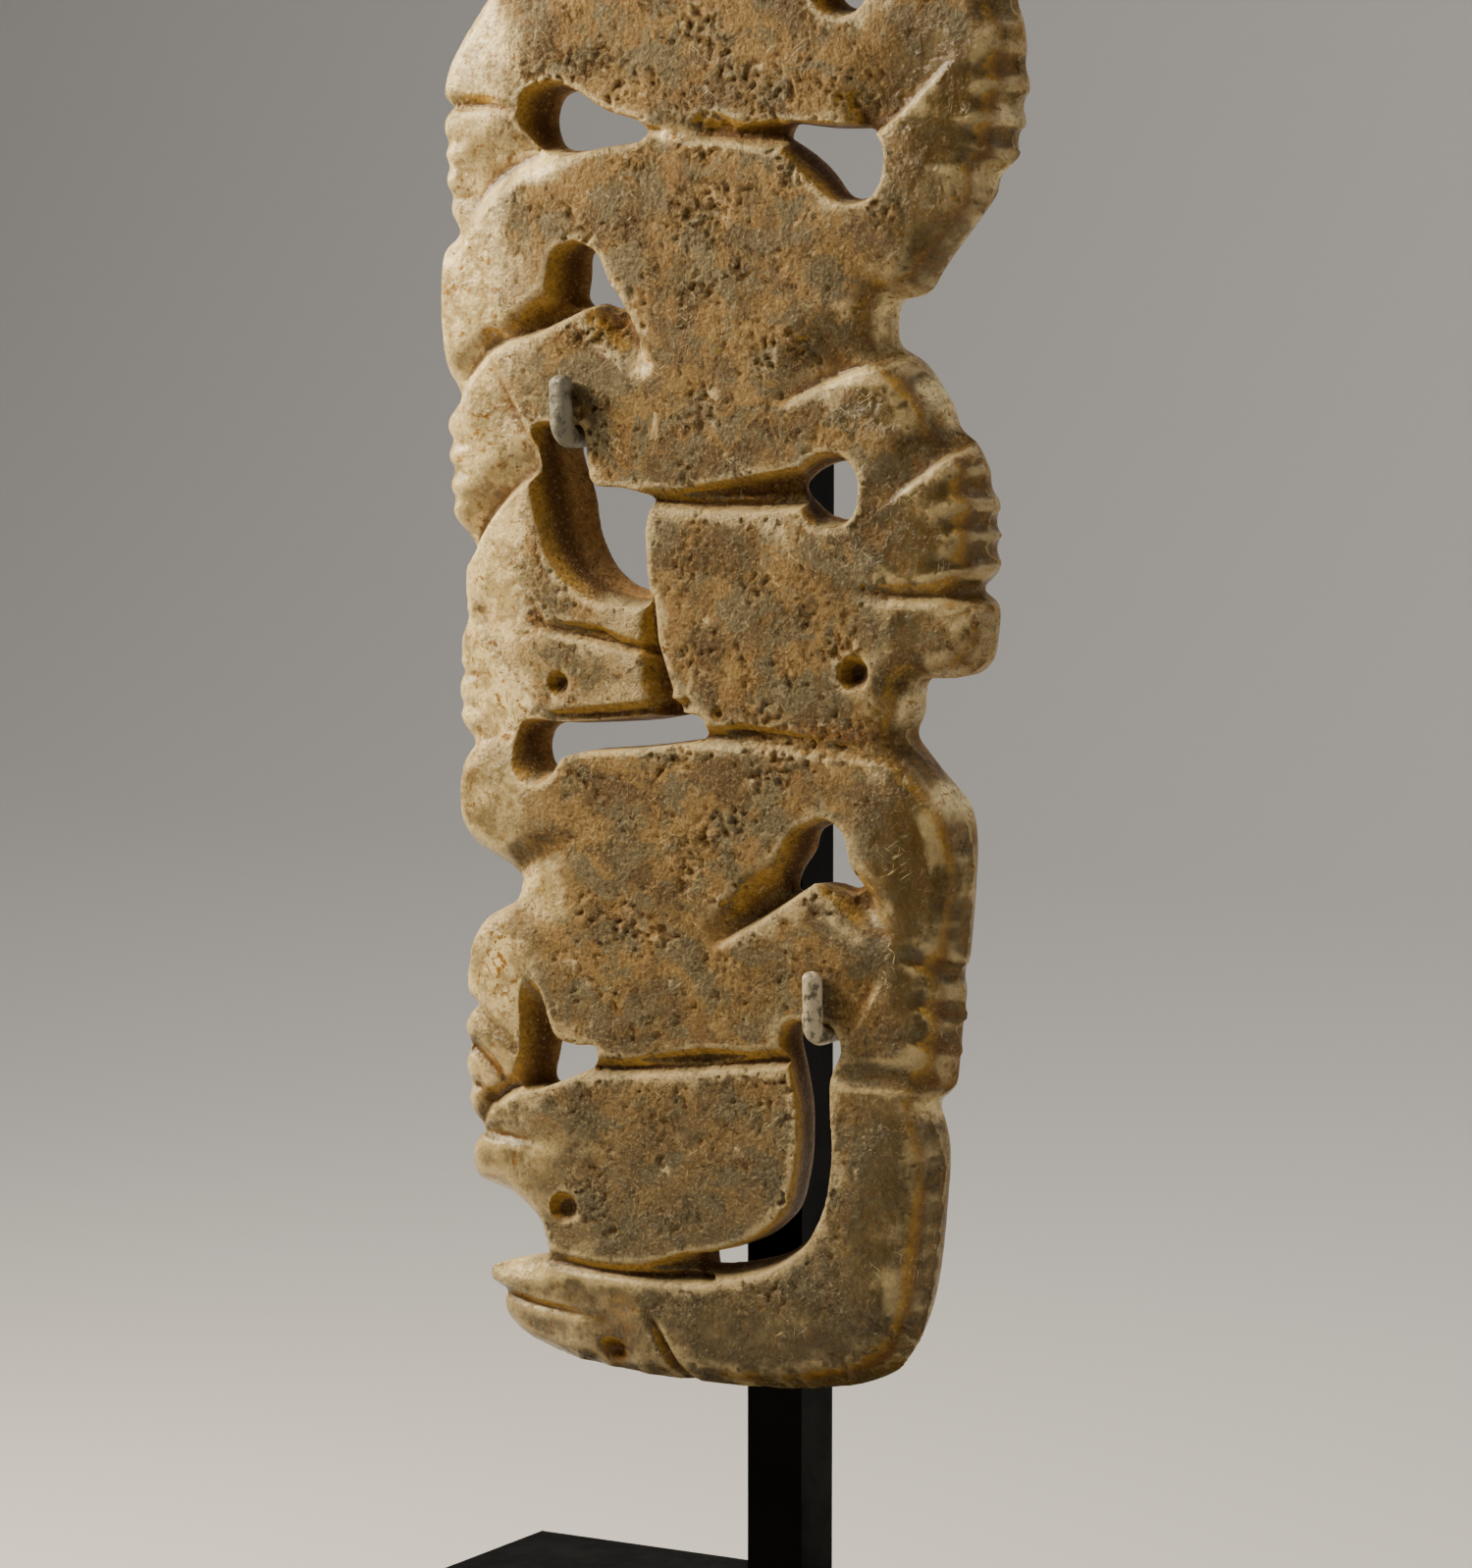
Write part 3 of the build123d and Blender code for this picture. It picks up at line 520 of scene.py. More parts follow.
def lattice_noise(points, cell, seed):
    """Smooth noise over the face: a random level at each corner of a square lattice that is
    turned a little, and S-shaped ramps between the four corners round a point."""
    rows, columns = lattice_rows, lattice_columns
    levels = np.random.default_rng(seed).random((rows, columns))
    x, z = (points[:, 0] - setting_left) / cell, (points[:, 2] - setting_foot) / cell
    x, z = x + 0.35 * z, z - 0.35 * x
    i, j = np.floor(z).astype(int), np.floor(x).astype(int)
    down, over = soft_ramp(z - i, 0, 1), soft_ramp(x - j, 0, 1)
    here, right = j % columns, (j + 1) % columns
    low, high = i % rows, (i + 1) % rows
    near = levels[low, here] * (1 - over) + levels[low, right] * over
    far = levels[high, here] * (1 - over) + levels[high, right] * over
    return near * (1 - down) + far * down


def crumbled_depth(points):
    """Depth of the holes where grains have fallen out: the low parts of two noises, close
    together in the crumbled places and few elsewhere."""
    grains = 0.6 * lattice_noise(points, 0.56 * MM, 5) + 0.4 * lattice_noise(points, 0.40 * MM, 6)
    places = np.clip(crumbled_share(points) + 0.9 * soft_ramp(
        lattice_noise(points, 4.5 * MM, 7), 0.62, 0.85), 0, 1)
    holes = 0.34 * soft_ramp(-grains, -0.52, -0.24) * places
    scattered = 0.22 * soft_ramp(-grains, -0.27, -0.17) * (1 - places)
    return holes + scattered


reach_bands, bands_evened = 152, 13


def edge_reach(points):
    """Distance to the slab's outermost points at each level, left and right, evened out over
    some levels."""
    levels = np.linspace(stone_low[2], stone_high[2], reach_bands + 1)
    row = np.clip(np.digitize(points[:, 2], levels) - 1, 0, reach_bands - 1)
    left = np.full(reach_bands, np.inf)
    right = np.full(reach_bands, -np.inf)
    np.minimum.at(left, row, points[:, 0])
    np.maximum.at(right, row, points[:, 0])
    even = np.hanning(bands_evened) / np.hanning(bands_evened).sum()
    middles = (levels[:-1] + levels[1:]) / 2
    sides = []
    for bound in (left, right):
        padded = np.pad(bound, bands_evened // 2, mode="edge")
        sides.append(np.interp(points[:, 2], middles, np.convolve(padded, even, "valid")))
    return points[:, 0] - sides[0], sides[1] - points[:, 0]


# How far the whole face falls away at its left, right and foot, and from how far in
crown_left, crown_left_reach = 1.4 * MM, 13 * MM
crown_right, crown_right_reach = 1.0 * MM, 14 * MM
crown_foot, crown_foot_reach = 1.5 * MM, 13 * MM
deepest_carving = 3.4
carving_rounds = 2
wave_length, wave_height = 7 * MM, 0.05 * MM
thinnest_stone, thinnest_edge = 0.8 * MM, 0.4 * MM
stone_triangles = 190000

from_left, from_right = edge_reach(stone_points)
from_foot = stone_points[:, 2] - stone_low[2]
crown = (
    crown_left * np.clip(1 - from_left / crown_left_reach, 0, 1.1) ** 2
    + crown_right * np.clip(1 - from_right / crown_right_reach, 0, 1.1) ** 2
    + crown_foot * np.clip(1 - from_foot / crown_foot_reach, 0, 1.1) ** 2
)
face_depth = (
    np.clip(carved_depth(stone_points), 0, deepest_carving) * MM
    + crown
    + hand_ground(stone_points, wave_length, wave_height, 4)
    + round_drop(from_edge, edge_round_front)
)
face_level = np.minimum(stone_front + face_depth, stone_back - thinnest_stone)
stone_points[:, 1] = np.maximum(stone_points[:, 1], face_level)
back_level = stone_back - round_drop(from_edge, edge_round_back)
back_level = np.maximum(back_level, face_level + thinnest_edge)
stone_points[:, 1] = np.minimum(stone_points[:, 1], back_level)
stone_points = worn(stone_points, stone_ends, carving_rounds)
# the crumbled holes keep to the front face, and mostly off its polished parts
crumbly = (
    soft_ramp(face_level - stone_points[:, 1], -0.5 * MM, -0.15 * MM)
    * (1 - 0.9 * patch_shares(stone_points)[0])
)
stone_points[:, 1] += crumbly * crumbled_depth(stone_points) * MM


def write_points(mesh, points):
    """Puts the points back into the mesh."""
    mesh.vertices.foreach_set("co", points.astype(np.float32).ravel())
    mesh.update()


write_points(stone_mesh, stone_points)
stone_piece = bpy.data.objects.new("carved_stone", stone_mesh)
bpy.context.scene.collection.objects.link(stone_piece)
thinner = stone_piece.modifiers.new("thinner", "DECIMATE")
thinner.ratio = stone_triangles / (2 * len(stone_mesh.polygons))
ready = stone_piece.evaluated_get(bpy.context.evaluated_depsgraph_get())
stone_mesh = bpy.data.meshes.new_from_object(ready)
stone_piece.modifiers.clear()
stone_piece.data = stone_mesh
stone_mesh.shade_smooth()
print("stone", len(stone_mesh.polygons), "faces")

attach(stone_piece, "root")
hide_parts("pendant")


# Carved stone: what the surface shows from place to place
# Limbs, hands and jaws at the edge are polished and pale, the flat bodies pitted and brown.
# Hollows hold brown earth, ridges are rubbed bare, and light is painted in as well: painted
# shade in the hollows, pits and grooves, at the foot, on the olive side and on the sawn walls
# turned from the lamps, which also carry gold and tan painted light; painted highlights on
# lips, facets and slopes that face the lamps.
wall_reach = 2.5 * MM
relief_rounds = 24
relief_scale = 0.22 * MM    # height over its surroundings at which a ridge is rubbed bare


def write_share(mesh, name, values):
    """Keeps one number for each vertex in the mesh, for its material."""
    share = mesh.attributes.new(name, "FLOAT", "POINT")
    share.data.foreach_set("value", np.clip(values, 0, 1).astype(np.float32))


final_points = mesh_points(stone_mesh)
final_ends = mesh_edges(stone_mesh)
final_normals = np.empty(3 * len(stone_mesh.vertices), np.float32)
stone_mesh.vertices.foreach_get("normal", final_normals)
final_normals = final_normals.reshape(-1, 3)
evened = worn(final_points, final_ends, relief_rounds)
height_over = -((evened - final_points) * final_normals).sum(axis=1) / relief_scale
final_from_edge = read_plan(edge_plan, final_points)
sideways = soft_ramp(final_normals[:, 1], -0.75, -0.15)
sloping = soft_ramp(final_normals[:, 1], -0.95, -0.70)
inside = soft_ramp(final_from_edge, 0.6 * MM, wall_reach)
depth_share = (final_points[:, 1] - stone_front) / stone_thickness
# How squarely each point is turned from the key lamps at the upper left, or lies deep in an
# opening: the sloping walls there get painted shade and painted light in the material.
shaded = soft_ramp(0.8 * final_normals[:, 0] - 0.6 * final_normals[:, 2], -0.45, 0.2)
shaded = np.maximum(shaded, soft_ramp(depth_share, 0.35, 0.60))
# sloping faces lit by the key lamps, which the material paints cream as a highlight
lit_slopes = 0.8 * sloping * inside * (1 - shaded)
smooth_share, pale_and_highlight_share, earth_and_shade_share = patch_shares(final_points)
write_share(stone_mesh, "smooth", smooth_share)
write_share(stone_mesh, "pale_and_highlight", pale_and_highlight_share)
write_share(stone_mesh, "earth_and_shade", earth_and_shade_share)
write_share(stone_mesh, "crumbled", crumbled_share(final_points))
write_share(stone_mesh, "foot_shade", 1 - soft_ramp(on_face(final_points)[1], 2, 32))
# ridges rubbed bare, and the lit slopes for their painted highlight
write_share(stone_mesh, "ridge_and_lit_slope", np.maximum(height_over, lit_slopes))
write_share(stone_mesh, "hollow", -height_over)
# sloping walls turned from the lamps, for their painted shade and painted light
write_share(stone_mesh, "wall_turned_from_lamps", sloping * inside * shaded)
write_share(stone_mesh, "rim", sideways * (1 - inside))
write_share(stone_mesh, "deep", depth_share)


# Carved stone: its colours and grain
# Buff nephrite with grey-green clouds, rust stains, short white fibres and crumbled pits.
# Long burial left brown earth in the hollows, deepened with painted shade; handling left the limbs
# pale and polished.
def shader_node(tree, kind, sockets, **settings):
    """New shader node with its settings, and on each socket a value or a link."""
    node = tree.nodes.new(kind)
    for name, value in settings.items():
        setattr(node, name, value)
    for name, value in sockets.items():
        if isinstance(value, bpy.types.NodeSocket):
            tree.links.new(value, node.inputs[name])
        else:
            node.inputs[name].default_value = value
    return node


def cloud(tree, place, size, detail=2.0, roughness=0.55, bend=0.0):
    """Cloudy noise whose patches are about as large as the size."""
    sockets = {"Vector": place, "Scale": 1 / size, "Detail": detail, "Roughness": roughness,
               "Distortion": bend}
    return shader_node(tree, "ShaderNodeTexNoise", sockets).outputs[0]


def fibres(tree, place, angle, length, width):
    """Noise drawn out along one direction of the face into short fibres."""
    turned = shader_node(tree, "ShaderNodeMapping", {
        "Vector": place, "Rotation": (0, math.radians(angle), 0)}).outputs[0]
    drawn_out = shader_node(tree, "ShaderNodeVectorMath", {
        0: turned, 1: (1 / length, 0.5 / width, 1 / width)}, operation="MULTIPLY").outputs[0]
    streaks = shader_node(tree, "ShaderNodeTexNoise", {
        "Vector": drawn_out, "Scale": 1.0, "Detail": 1.0}).outputs[0]
    return between(tree, streaks, 0.66, 0.76)


def chips(tree, place, size):
    """One random level for each cell of a cracked pattern, the cells bent out of shape by
    noise of about their own size."""
    waver = shader_node(tree, "ShaderNodeTexNoise", {
        "Vector": place, "Scale": 1 / (1.2 * size), "Detail": 3.0}).outputs["Color"]
    even = shader_node(tree, "ShaderNodeVectorMath", {0: waver, 1: (0.5, 0.5, 0.5)},
                       operation="SUBTRACT").outputs[0]
    shift = shader_node(tree, "ShaderNodeVectorMath", {0: even, "Scale": 1.6 * size},
                        operation="SCALE").outputs[0]
    bent = shader_node(tree, "ShaderNodeVectorMath", {0: place, 1: shift},
                       operation="ADD").outputs[0]
    return shader_node(tree, "ShaderNodeTexVoronoi", {
        "Vector": bent, "Scale": 1 / size}).outputs["Color"]


def between(tree, value, low, high, start=0.0, end=1.0):
    """A soft ramp from start to end while the value goes from low to high."""
    sockets = {"Value": value, "From Min": low, "From Max": high, "To Min": start, "To Max": end}
    return shader_node(tree, "ShaderNodeMapRange", sockets,
                       interpolation_type="SMOOTHSTEP").outputs[0]


def reckon(tree, operation, first, second):
    """A sum, product or comparison of two numbers."""
    return shader_node(tree, "ShaderNodeMath", {0: first, 1: second},
                       operation=operation).outputs[0]


def plus(tree, first, second):
    """The sum of two numbers."""
    return reckon(tree, "ADD", first, second)


def minus(tree, first, second):
    """The first number less the second."""
    return reckon(tree, "SUBTRACT", first, second)


def times(tree, first, second):
    """The product of two numbers."""
    return reckon(tree, "MULTIPLY", first, second)


def larger(tree, first, second):
    """The larger of two numbers."""
    return reckon(tree, "MAXIMUM", first, second)


def coloured(tree, amount, under, over):
    """A colour laid over another, as far as the amount says."""
    sockets = {0: amount, 6: under, 7: over}
    return shader_node(tree, "ShaderNodeMix", sockets, data_type="RGBA").outputs[2]


def new_material(name):
    """A new material, with its node tree and its shader."""
    material = bpy.data.materials.new(name)
    material.use_nodes = True
    tree = material.node_tree
    return material, tree, tree.nodes["Principled BSDF"]


def raised(tree, shader, height):
    """Relief of the surface, from a height in millimetres."""
    bump = shader_node(tree, "ShaderNodeBump", {"Height": height, "Distance": MM, "Strength": 1.0})
    tree.links.new(bump.outputs[0], shader.inputs["Normal"])


def vertex_share(tree, name):
    """A number that the mesh keeps for each vertex."""
    return shader_node(tree, "ShaderNodeAttribute", {}, attribute_name=name).outputs["Fac"]


BUFF = (0.245, 0.143, 0.035, 1)
UMBER = (0.105, 0.060, 0.013, 1)
GREY_GREEN = (0.130, 0.101, 0.045, 1)
RUST = (0.208, 0.108, 0.020, 1)
# the two olives are darker than the stone's own olive, as painted shade
OLIVE = (0.070, 0.046, 0.010, 1)
OLIVE_LIGHT = (0.094, 0.068, 0.023, 1)
GREY_OLIVE = (0.082, 0.070, 0.038, 1)
CREAM = (0.820, 0.640, 0.320, 1)
CREAM_GREY = (0.430, 0.325, 0.145, 1)
LIMB_OLIVE = (0.270, 0.195, 0.070, 1)
OCHRE = (0.270, 0.122, 0.014, 1)
EARTH = (0.080, 0.032, 0.005, 1)
WALL_GOLD = (0.480, 0.270, 0.030, 1)
WALL_BROWN = (0.120, 0.050, 0.007, 1)
WALL_TAN = (0.520, 0.300, 0.110, 1)
FIBRE_WHITE = (0.620, 0.500, 0.270, 1)
PIT_BROWN = (0.040, 0.016, 0.003, 1)


def stone_material():
    """Material of the carved stone, its pattern held to the stone's own place."""
    material, tree, shader = new_material("carved_jade")
    place = shader_node(tree, "ShaderNodeTexCoord", {}).outputs["Object"]
    wobble = minus(tree, cloud(tree, place, 3.5 * MM, 4.0, 0.6), 0.5)
    ragged = times(tree, wobble, 1.1)
    smooth = between(tree, plus(tree, vertex_share(tree, "smooth"), ragged), 0.20, 0.80)
    pale_and_highlight = between(tree, plus(tree, vertex_share(tree, "pale_and_highlight"), ragged), 0.05, 0.9)
    earth_and_shade = between(tree, plus(tree, vertex_share(tree, "earth_and_shade"), ragged), 0.10, 0.85)
    rough = minus(tree, 1.0, smooth)
    ridge_and_lit_slope, hollow = vertex_share(tree, "ridge_and_lit_slope"), vertex_share(tree, "hollow")
    wall_turned_from_lamps, rim = vertex_share(tree, "wall_turned_from_lamps"), vertex_share(tree, "rim")
    deep = vertex_share(tree, "deep")

    # clouds and stains of the flat bodies
    broad = cloud(tree, place, 6 * MM, 4.0, 0.6)
    colour = coloured(tree, between(tree, broad, 0.42, 0.56), UMBER, BUFF)
    stain_field = cloud(tree, place, 4.2 * MM, 5.0, 0.62, 0.8)
    colour = coloured(tree, between(tree, stain_field, 0.52, 0.62, 0.0, 0.80), colour, RUST)
    clouds = between(tree, cloud(tree, place, 4.5 * MM, 5.0, 0.66, 0.6), 0.48, 0.58, 0.0, 0.95)
    colour = coloured(tree, clouds, colour, GREY_GREEN)
    # painted shade: darker and greyer towards the foot, which turns away from the lamps
    colour = coloured(tree, times(tree, vertex_share(tree, "foot_shade"), 0.75), colour, GREY_OLIVE)

    # smooth parts on the shaded side: olive with brown dots, the olive darkened as painted shade
    # where the lamps fall away
    speck_field = cloud(tree, place, 0.75 * MM, 4.0, 0.65)
    dots = between(tree, speck_field, 0.55, 0.62, 0.0, 0.8)
    olive = coloured(tree, dots, coloured(tree, clouds, OLIVE, OLIVE_LIGHT), EARTH)
    colour = coloured(tree, times(tree, smooth, 0.90), colour, olive)

    # pale polished limbs, their pale also painted as highlight on lit lips and facets
    limb_clouds = between(tree, cloud(tree, place, 3.6 * MM, 5.0, 0.66), 0.44, 0.58, 0.0, 0.95)
    limb = coloured(tree, limb_clouds, CREAM, CREAM_GREY)
    limb_stains = between(tree, cloud(tree, place, 1.6 * MM, 5.0, 0.70), 0.52, 0.64, 0.0, 0.70)
    limb = coloured(tree, limb_stains, limb, LIMB_OLIVE)
    specks = times(tree, between(tree, speck_field, 0.54, 0.61),
                   between(tree, stain_field, 0.44, 0.56, 0.35, 1.0))
    limb = coloured(tree, specks, limb, OCHRE)
    colour = coloured(tree, pale_and_highlight, colour, limb)

    # earth and painted shade in the hollows and round the openings, bare ridges, painted
    # highlights on lit slopes, and painted shade and light on the walls
    grit = between(tree, speck_field, 0.42, 0.60)
    soil = coloured(tree, grit, EARTH, OCHRE)
    colour = coloured(tree, earth_and_shade, colour, soil)
    # the hollows' brown is earth, deepened as painted shade
    earth_and_shade_in = between(tree, plus(tree, hollow, ragged), 0.15, 0.95, 0.0, 0.85)
    colour = coloured(tree, earth_and_shade_in, colour, coloured(tree, hollow, OCHRE, EARTH))
    # cream on ridges rubbed bare, and on slopes facing the lamps as a painted highlight
    bare_and_lit = between(tree, plus(tree, ridge_and_lit_slope, ragged), 0.40, 1.05, 0.0, 0.45)
    colour = coloured(tree, bare_and_lit, colour, CREAM)
    # sloping walls turned from the lamps: brown midway in as painted shade, gold near the face and
    # tan deepest, partly the stone's ochre and partly painted light; grit of earth over it
    wall_colour = coloured(tree, between(tree, deep, 0.10, 0.36), WALL_GOLD, WALL_BROWN)
    wall_colour = coloured(tree, between(tree, deep, 0.42, 0.62, 0.0, 0.9), wall_colour, WALL_TAN)
    wall_colour = coloured(tree, times(tree, grit, 0.35), wall_colour, EARTH)
    turned_wall_cover = between(tree, plus(tree, wall_turned_from_lamps, ragged), 0.15, 0.7, 0.0, 0.95)
    colour = coloured(tree, turned_wall_cover, colour, wall_colour)
    brown_rim = times(tree, minus(tree, 1.0, pale_and_highlight), rim)
    brown_rim = times(tree, brown_rim, between(tree, speck_field, 0.50, 0.58, 0.1, 0.9))
    colour = coloured(tree, brown_rim, colour, OCHRE)

    # grain and fibres
    grain = cloud(tree, place, 0.36 * MM, 4.0, 0.7)
    grain_cover = times(tree, between(tree, grain, 0.50, 0.36, 0.0, 0.75),
                        plus(tree, 0.40, times(tree, rough, 0.25)))
    colour = coloured(tree, grain_cover, colour, EARTH)
    grain_light = times(tree, between(tree, grain, 0.54, 0.66, 0.0, 0.5), rough)
    colour = coloured(tree, grain_light, colour, CREAM_GREY)
    threads = fibres(tree, place, 35, 2.2 * MM, 0.15 * MM)
    for angle in (80, 145):
        threads = larger(tree, threads, fibres(tree, place, angle, 2.0 * MM, 0.14 * MM))
    felted = between(tree, cloud(tree, place, 5.0 * MM, 3.0, 0.6, 0.5), 0.52, 0.64, 0.04, 0.6)
    colour = coloured(tree, times(tree, threads, felted), colour, FIBRE_WHITE)

    # crumbled places: flakes broken out of the face, and round pits; pits and sunk grains darkened
    # as painted shade, standing grains lightened as painted highlight
    crumbled = between(tree, cloud(tree, place, 4.6 * MM, 5.0, 0.70), 0.53, 0.63)
    chosen = plus(tree, vertex_share(tree, "crumbled"), ragged)
    crumbled = larger(tree, crumbled, between(tree, chosen, 0.25, 0.75))
    crumbled = times(tree, crumbled, plus(tree, 0.05, rough))
    lumps = cloud(tree, place, 0.55 * MM, 5.0, 0.64, 0.4)
    flakes, crumbs = chips(tree, place, 0.60 * MM), chips(tree, place, 0.34 * MM)
    flaked = larger(tree, between(tree, flakes, 0.30, 0.22), between(tree, crumbs, 0.30, 0.22))
    pit = times(tree, flaked, between(tree, crumbled, 0.15, 0.70, 0.03, 0.6))
    small_pit = times(tree, between(tree, speck_field, 0.345, 0.30), plus(tree, 0.35, rough))
    pit = larger(tree, pit, small_pit)
    sunk = times(tree, between(tree, lumps, 0.50, 0.36), crumbled)
    # sunk grains: earth and painted shade
    colour = coloured(tree, times(tree, sunk, 0.35), colour, EARTH)
    # standing grains lightened as a painted highlight
    standing = times(tree, between(tree, lumps, 0.52, 0.66), crumbled)
    colour = coloured(tree, times(tree, standing, 0.35), colour, CREAM_GREY)
    # pits darkened as painted shade
    colour = coloured(tree, times(tree, pit, 0.40), colour, PIT_BROWN)
    tree.links.new(colour, shader.inputs["Base Color"])

    # height in millimetres: pits, lumps, crumbs, grain, the walls' grit and a slight swell
    level = times(tree, pit, -0.32)
    level = plus(tree, level, times(tree, lumps, plus(tree, 0.06, times(tree, crumbled, 0.8))))
    level = plus(tree, level, times(tree, crumbled, -0.35))
    crumb = times(tree, cloud(tree, place, 1.1 * MM, 5.0, 0.66),
                  plus(tree, 0.14, times(tree, rough, 0.30)))
    level = plus(tree, level, crumb)
    roughened = times(tree, plus(tree, rough, wall_turned_from_lamps), 0.12)
    level = plus(tree, level, times(tree, grain, plus(tree, 0.05, roughened)))
    level = plus(tree, level, times(tree, cloud(tree, place, 2.8 * MM, 3.0), 0.28))
    raised(tree, shader, level)
    polish = plus(tree, smooth, times(tree, ridge_and_lit_slope, 0.7))
    gloss = between(tree, polish, 0.0, 1.2, 0.72, 0.22)
    gloss = plus(tree, gloss, times(tree, wobble, 0.25))
    gloss = plus(tree, gloss, times(tree, pit, 0.4))
    tree.links.new(gloss, shader.inputs["Roughness"])
    shader.inputs["Specular IOR Level"].default_value = 0.35
    shader.inputs["Subsurface Weight"].default_value = 0.05
    shader.inputs["Subsurface Radius"].default_value = (1.0, 0.6, 0.3)
    shader.inputs["Subsurface Scale"].default_value = 1.0 * MM
    return material


stone_mesh.materials.clear()
stone_mesh.materials.append(stone_material())


# Hooks
# Round rod bent by hand and painted over: the tail sits in the post, the arm runs behind
# the stone, and the end comes through an opening and turns up over the face.
def rod_path(corners, bend, spacing):
    """Points along straight runs joined by arcs of one radius, evenly spaced: each corner is
    replaced by a quarter circle that touches both runs."""
    corners = np.array(corners, float)
    runs = [corners[:1]]
    for before, corner, after in zip(corners[:-2], corners[1:-1], corners[2:]):
        back = (before - corner) / np.linalg.norm(before - corner)
        ahead = (after - corner) / np.linalg.norm(after - corner)
        turn = np.linspace(0, math.pi / 2, 9)[:, None]
        centre = corner + bend * (back + ahead)
        runs.append(centre - bend * (ahead * np.cos(turn) + back * np.sin(turn)))
    runs.append(corners[-1:])
    path = np.concatenate(runs)
    gone = np.concatenate([[0], np.cumsum(np.linalg.norm(np.diff(path, axis=0), axis=1))])
    stations = np.linspace(0, gone[-1], int(gone[-1] / spacing))
    return np.stack([np.interp(stations, gone, column) for column in path.T], axis=1)


def rod_mesh(name, path, radii, around, lumps, seed):
    """A closed rod along a path: a circle square to the path at each station, its radius from
    the list, uneven by a few long waves round and along it."""
    along = np.gradient(path, axis=0)
    along /= np.linalg.norm(along, axis=1)[:, None]
    side = np.zeros_like(path)
    side[0] = (1.0, 0.0, 0.0)
    for i in range(1, len(path)):
        held = side[i - 1] - along[i] * np.dot(side[i - 1], along[i])
        side[i] = held / np.linalg.norm(held)
    other = np.cross(along, side)
    angle = np.linspace(0, 2 * math.pi, around, endpoint=False)
    draw = np.random.default_rng(seed)
    station = np.linspace(0, 1, len(path))[:, None]
    uneven = np.zeros((len(path), around))
    for turns in (1, 2, 2, 3, 3):
        waves, phase, shift = draw.uniform(3, 11), *draw.uniform(0, 2 * math.pi, 2)
        uneven += np.sin(turns * angle[None, :] + phase + 2 * math.pi * waves * station + shift)
    reach = radii[:, None] * (1 + lumps[:, None] * uneven / 2.5)
    rings = (path[:, None, :] + reach[..., None] * (
        np.cos(angle)[None, :, None] * side[:, None, :]
        + np.sin(angle)[None, :, None] * other[:, None, :]))
    points = np.concatenate([rings.reshape(-1, 3), path[:1], path[-1:]])
    ring = np.arange(len(path) - 1)[:, None] * around
    here, ahead = np.arange(around)[None, :], (np.arange(around)[None, :] + 1) % around
    quads = np.stack([ring + here, ring + ahead, ring + around + ahead, ring + around + here],
                     axis=-1).reshape(-1, 4)
    last = (len(path) - 1) * around
    start_cap = np.stack([ahead[0], here[0], np.full(around, len(points) - 2)], axis=-1)
    end_cap = np.stack([last + here[0], last + ahead[0], np.full(around, len(points) - 1)],
                       axis=-1)
    mesh = bpy.data.meshes.new(name)
    mesh.from_pydata(points.tolist(), [], quads.tolist() + start_cap.tolist() + end_cap.tolist())
    mesh.shade_smooth()
    return mesh


def bent_rod(name, radius, side, lump, seed):
    """One hook's mesh, fitted to its place in the frame: tail, arm, shank and upturned end,
    the end rounded over the last half width."""
    low, high = (np.array(corner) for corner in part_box(name))
    post_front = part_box("post")[0][1]
    lane = (post_front + stone_back) / 2
    level = low[2] + radius
    front = low[1] + radius
    tip = high[2]
    corners = ((0, high[1], level), (0, lane, level), (side, lane, level), (side, front, level),
               (side, front, tip))
    spacing, around = 0.12 * MM, 36
    path = rod_path(corners, 1.6 * radius, spacing)
    gone = np.arange(len(path)) * spacing
    to_tip = gone[-1] - gone
    radii = radius * np.sqrt(np.clip(1 - np.clip(1 - to_tip / (0.7 * radius), 0, 1) ** 2, 0.02, 1))
    shown = soft_ramp(-path[:, 1], -stone_front - 0.5 * MM, -stone_front + 0.5 * MM)
    return rod_mesh(name, path, radii, around, lump * shown, seed)


def hook_material(name, paint, dirt, roughness, scribble):
    """Thick brushed paint: lumps, dirt in its hollows, and dark scratches if it has them."""
    material, tree, shader = new_material(name)
    place = shader_node(tree, "ShaderNodeTexCoord", {}).outputs["Object"]
    lumps = cloud(tree, place, 1.1 * MM, 4.0, 0.6)
    colour = coloured(tree, between(tree, lumps, 0.52, 0.36, 0.0, 0.85), paint, dirt)
    if scribble:
        marks = fibres(tree, place, 62, 1.6 * MM, 0.10 * MM)
        marks = larger(tree, marks, fibres(tree, place, 118, 1.4 * MM, 0.10 * MM))
        colour = coloured(tree, times(tree, marks, 0.9), colour, dirt)
    tree.links.new(colour, shader.inputs["Base Color"])
    raised(tree, shader, times(tree, lumps, 0.40))
    shader.inputs["Roughness"].default_value = roughness
    return material


def finished(name, piece_name, mesh, material):
    """Puts a finished piece in the scene in place of its node."""
    mesh.materials.clear()
    mesh.materials.append(material)
    piece = bpy.data.objects.new(piece_name, mesh)
    bpy.context.scene.collection.objects.link(piece)
    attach(piece, "root")
    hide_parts(name)


upper_low, upper_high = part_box("upper_hook")
upper_radius = upper_high[0]
finished("upper_hook", "grey_hook",
         bent_rod("upper_hook", upper_radius, upper_low[0] + upper_radius, 0.07, 3),
         hook_material("grey_hook_paint", (0.200, 0.185, 0.135, 1), (0.060, 0.048, 0.028, 1),
                       0.45, False))
lower_low, lower_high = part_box("lower_hook")
lower_radius = -lower_low[0]
finished("lower_hook", "cream_hook",
         bent_rod("lower_hook", lower_radius, lower_high[0] - lower_radius, 0.05, 8),
         hook_material("cream_hook_paint", (0.480, 0.410, 0.280, 1), (0.030, 0.022, 0.012, 1),
                       0.40, True))


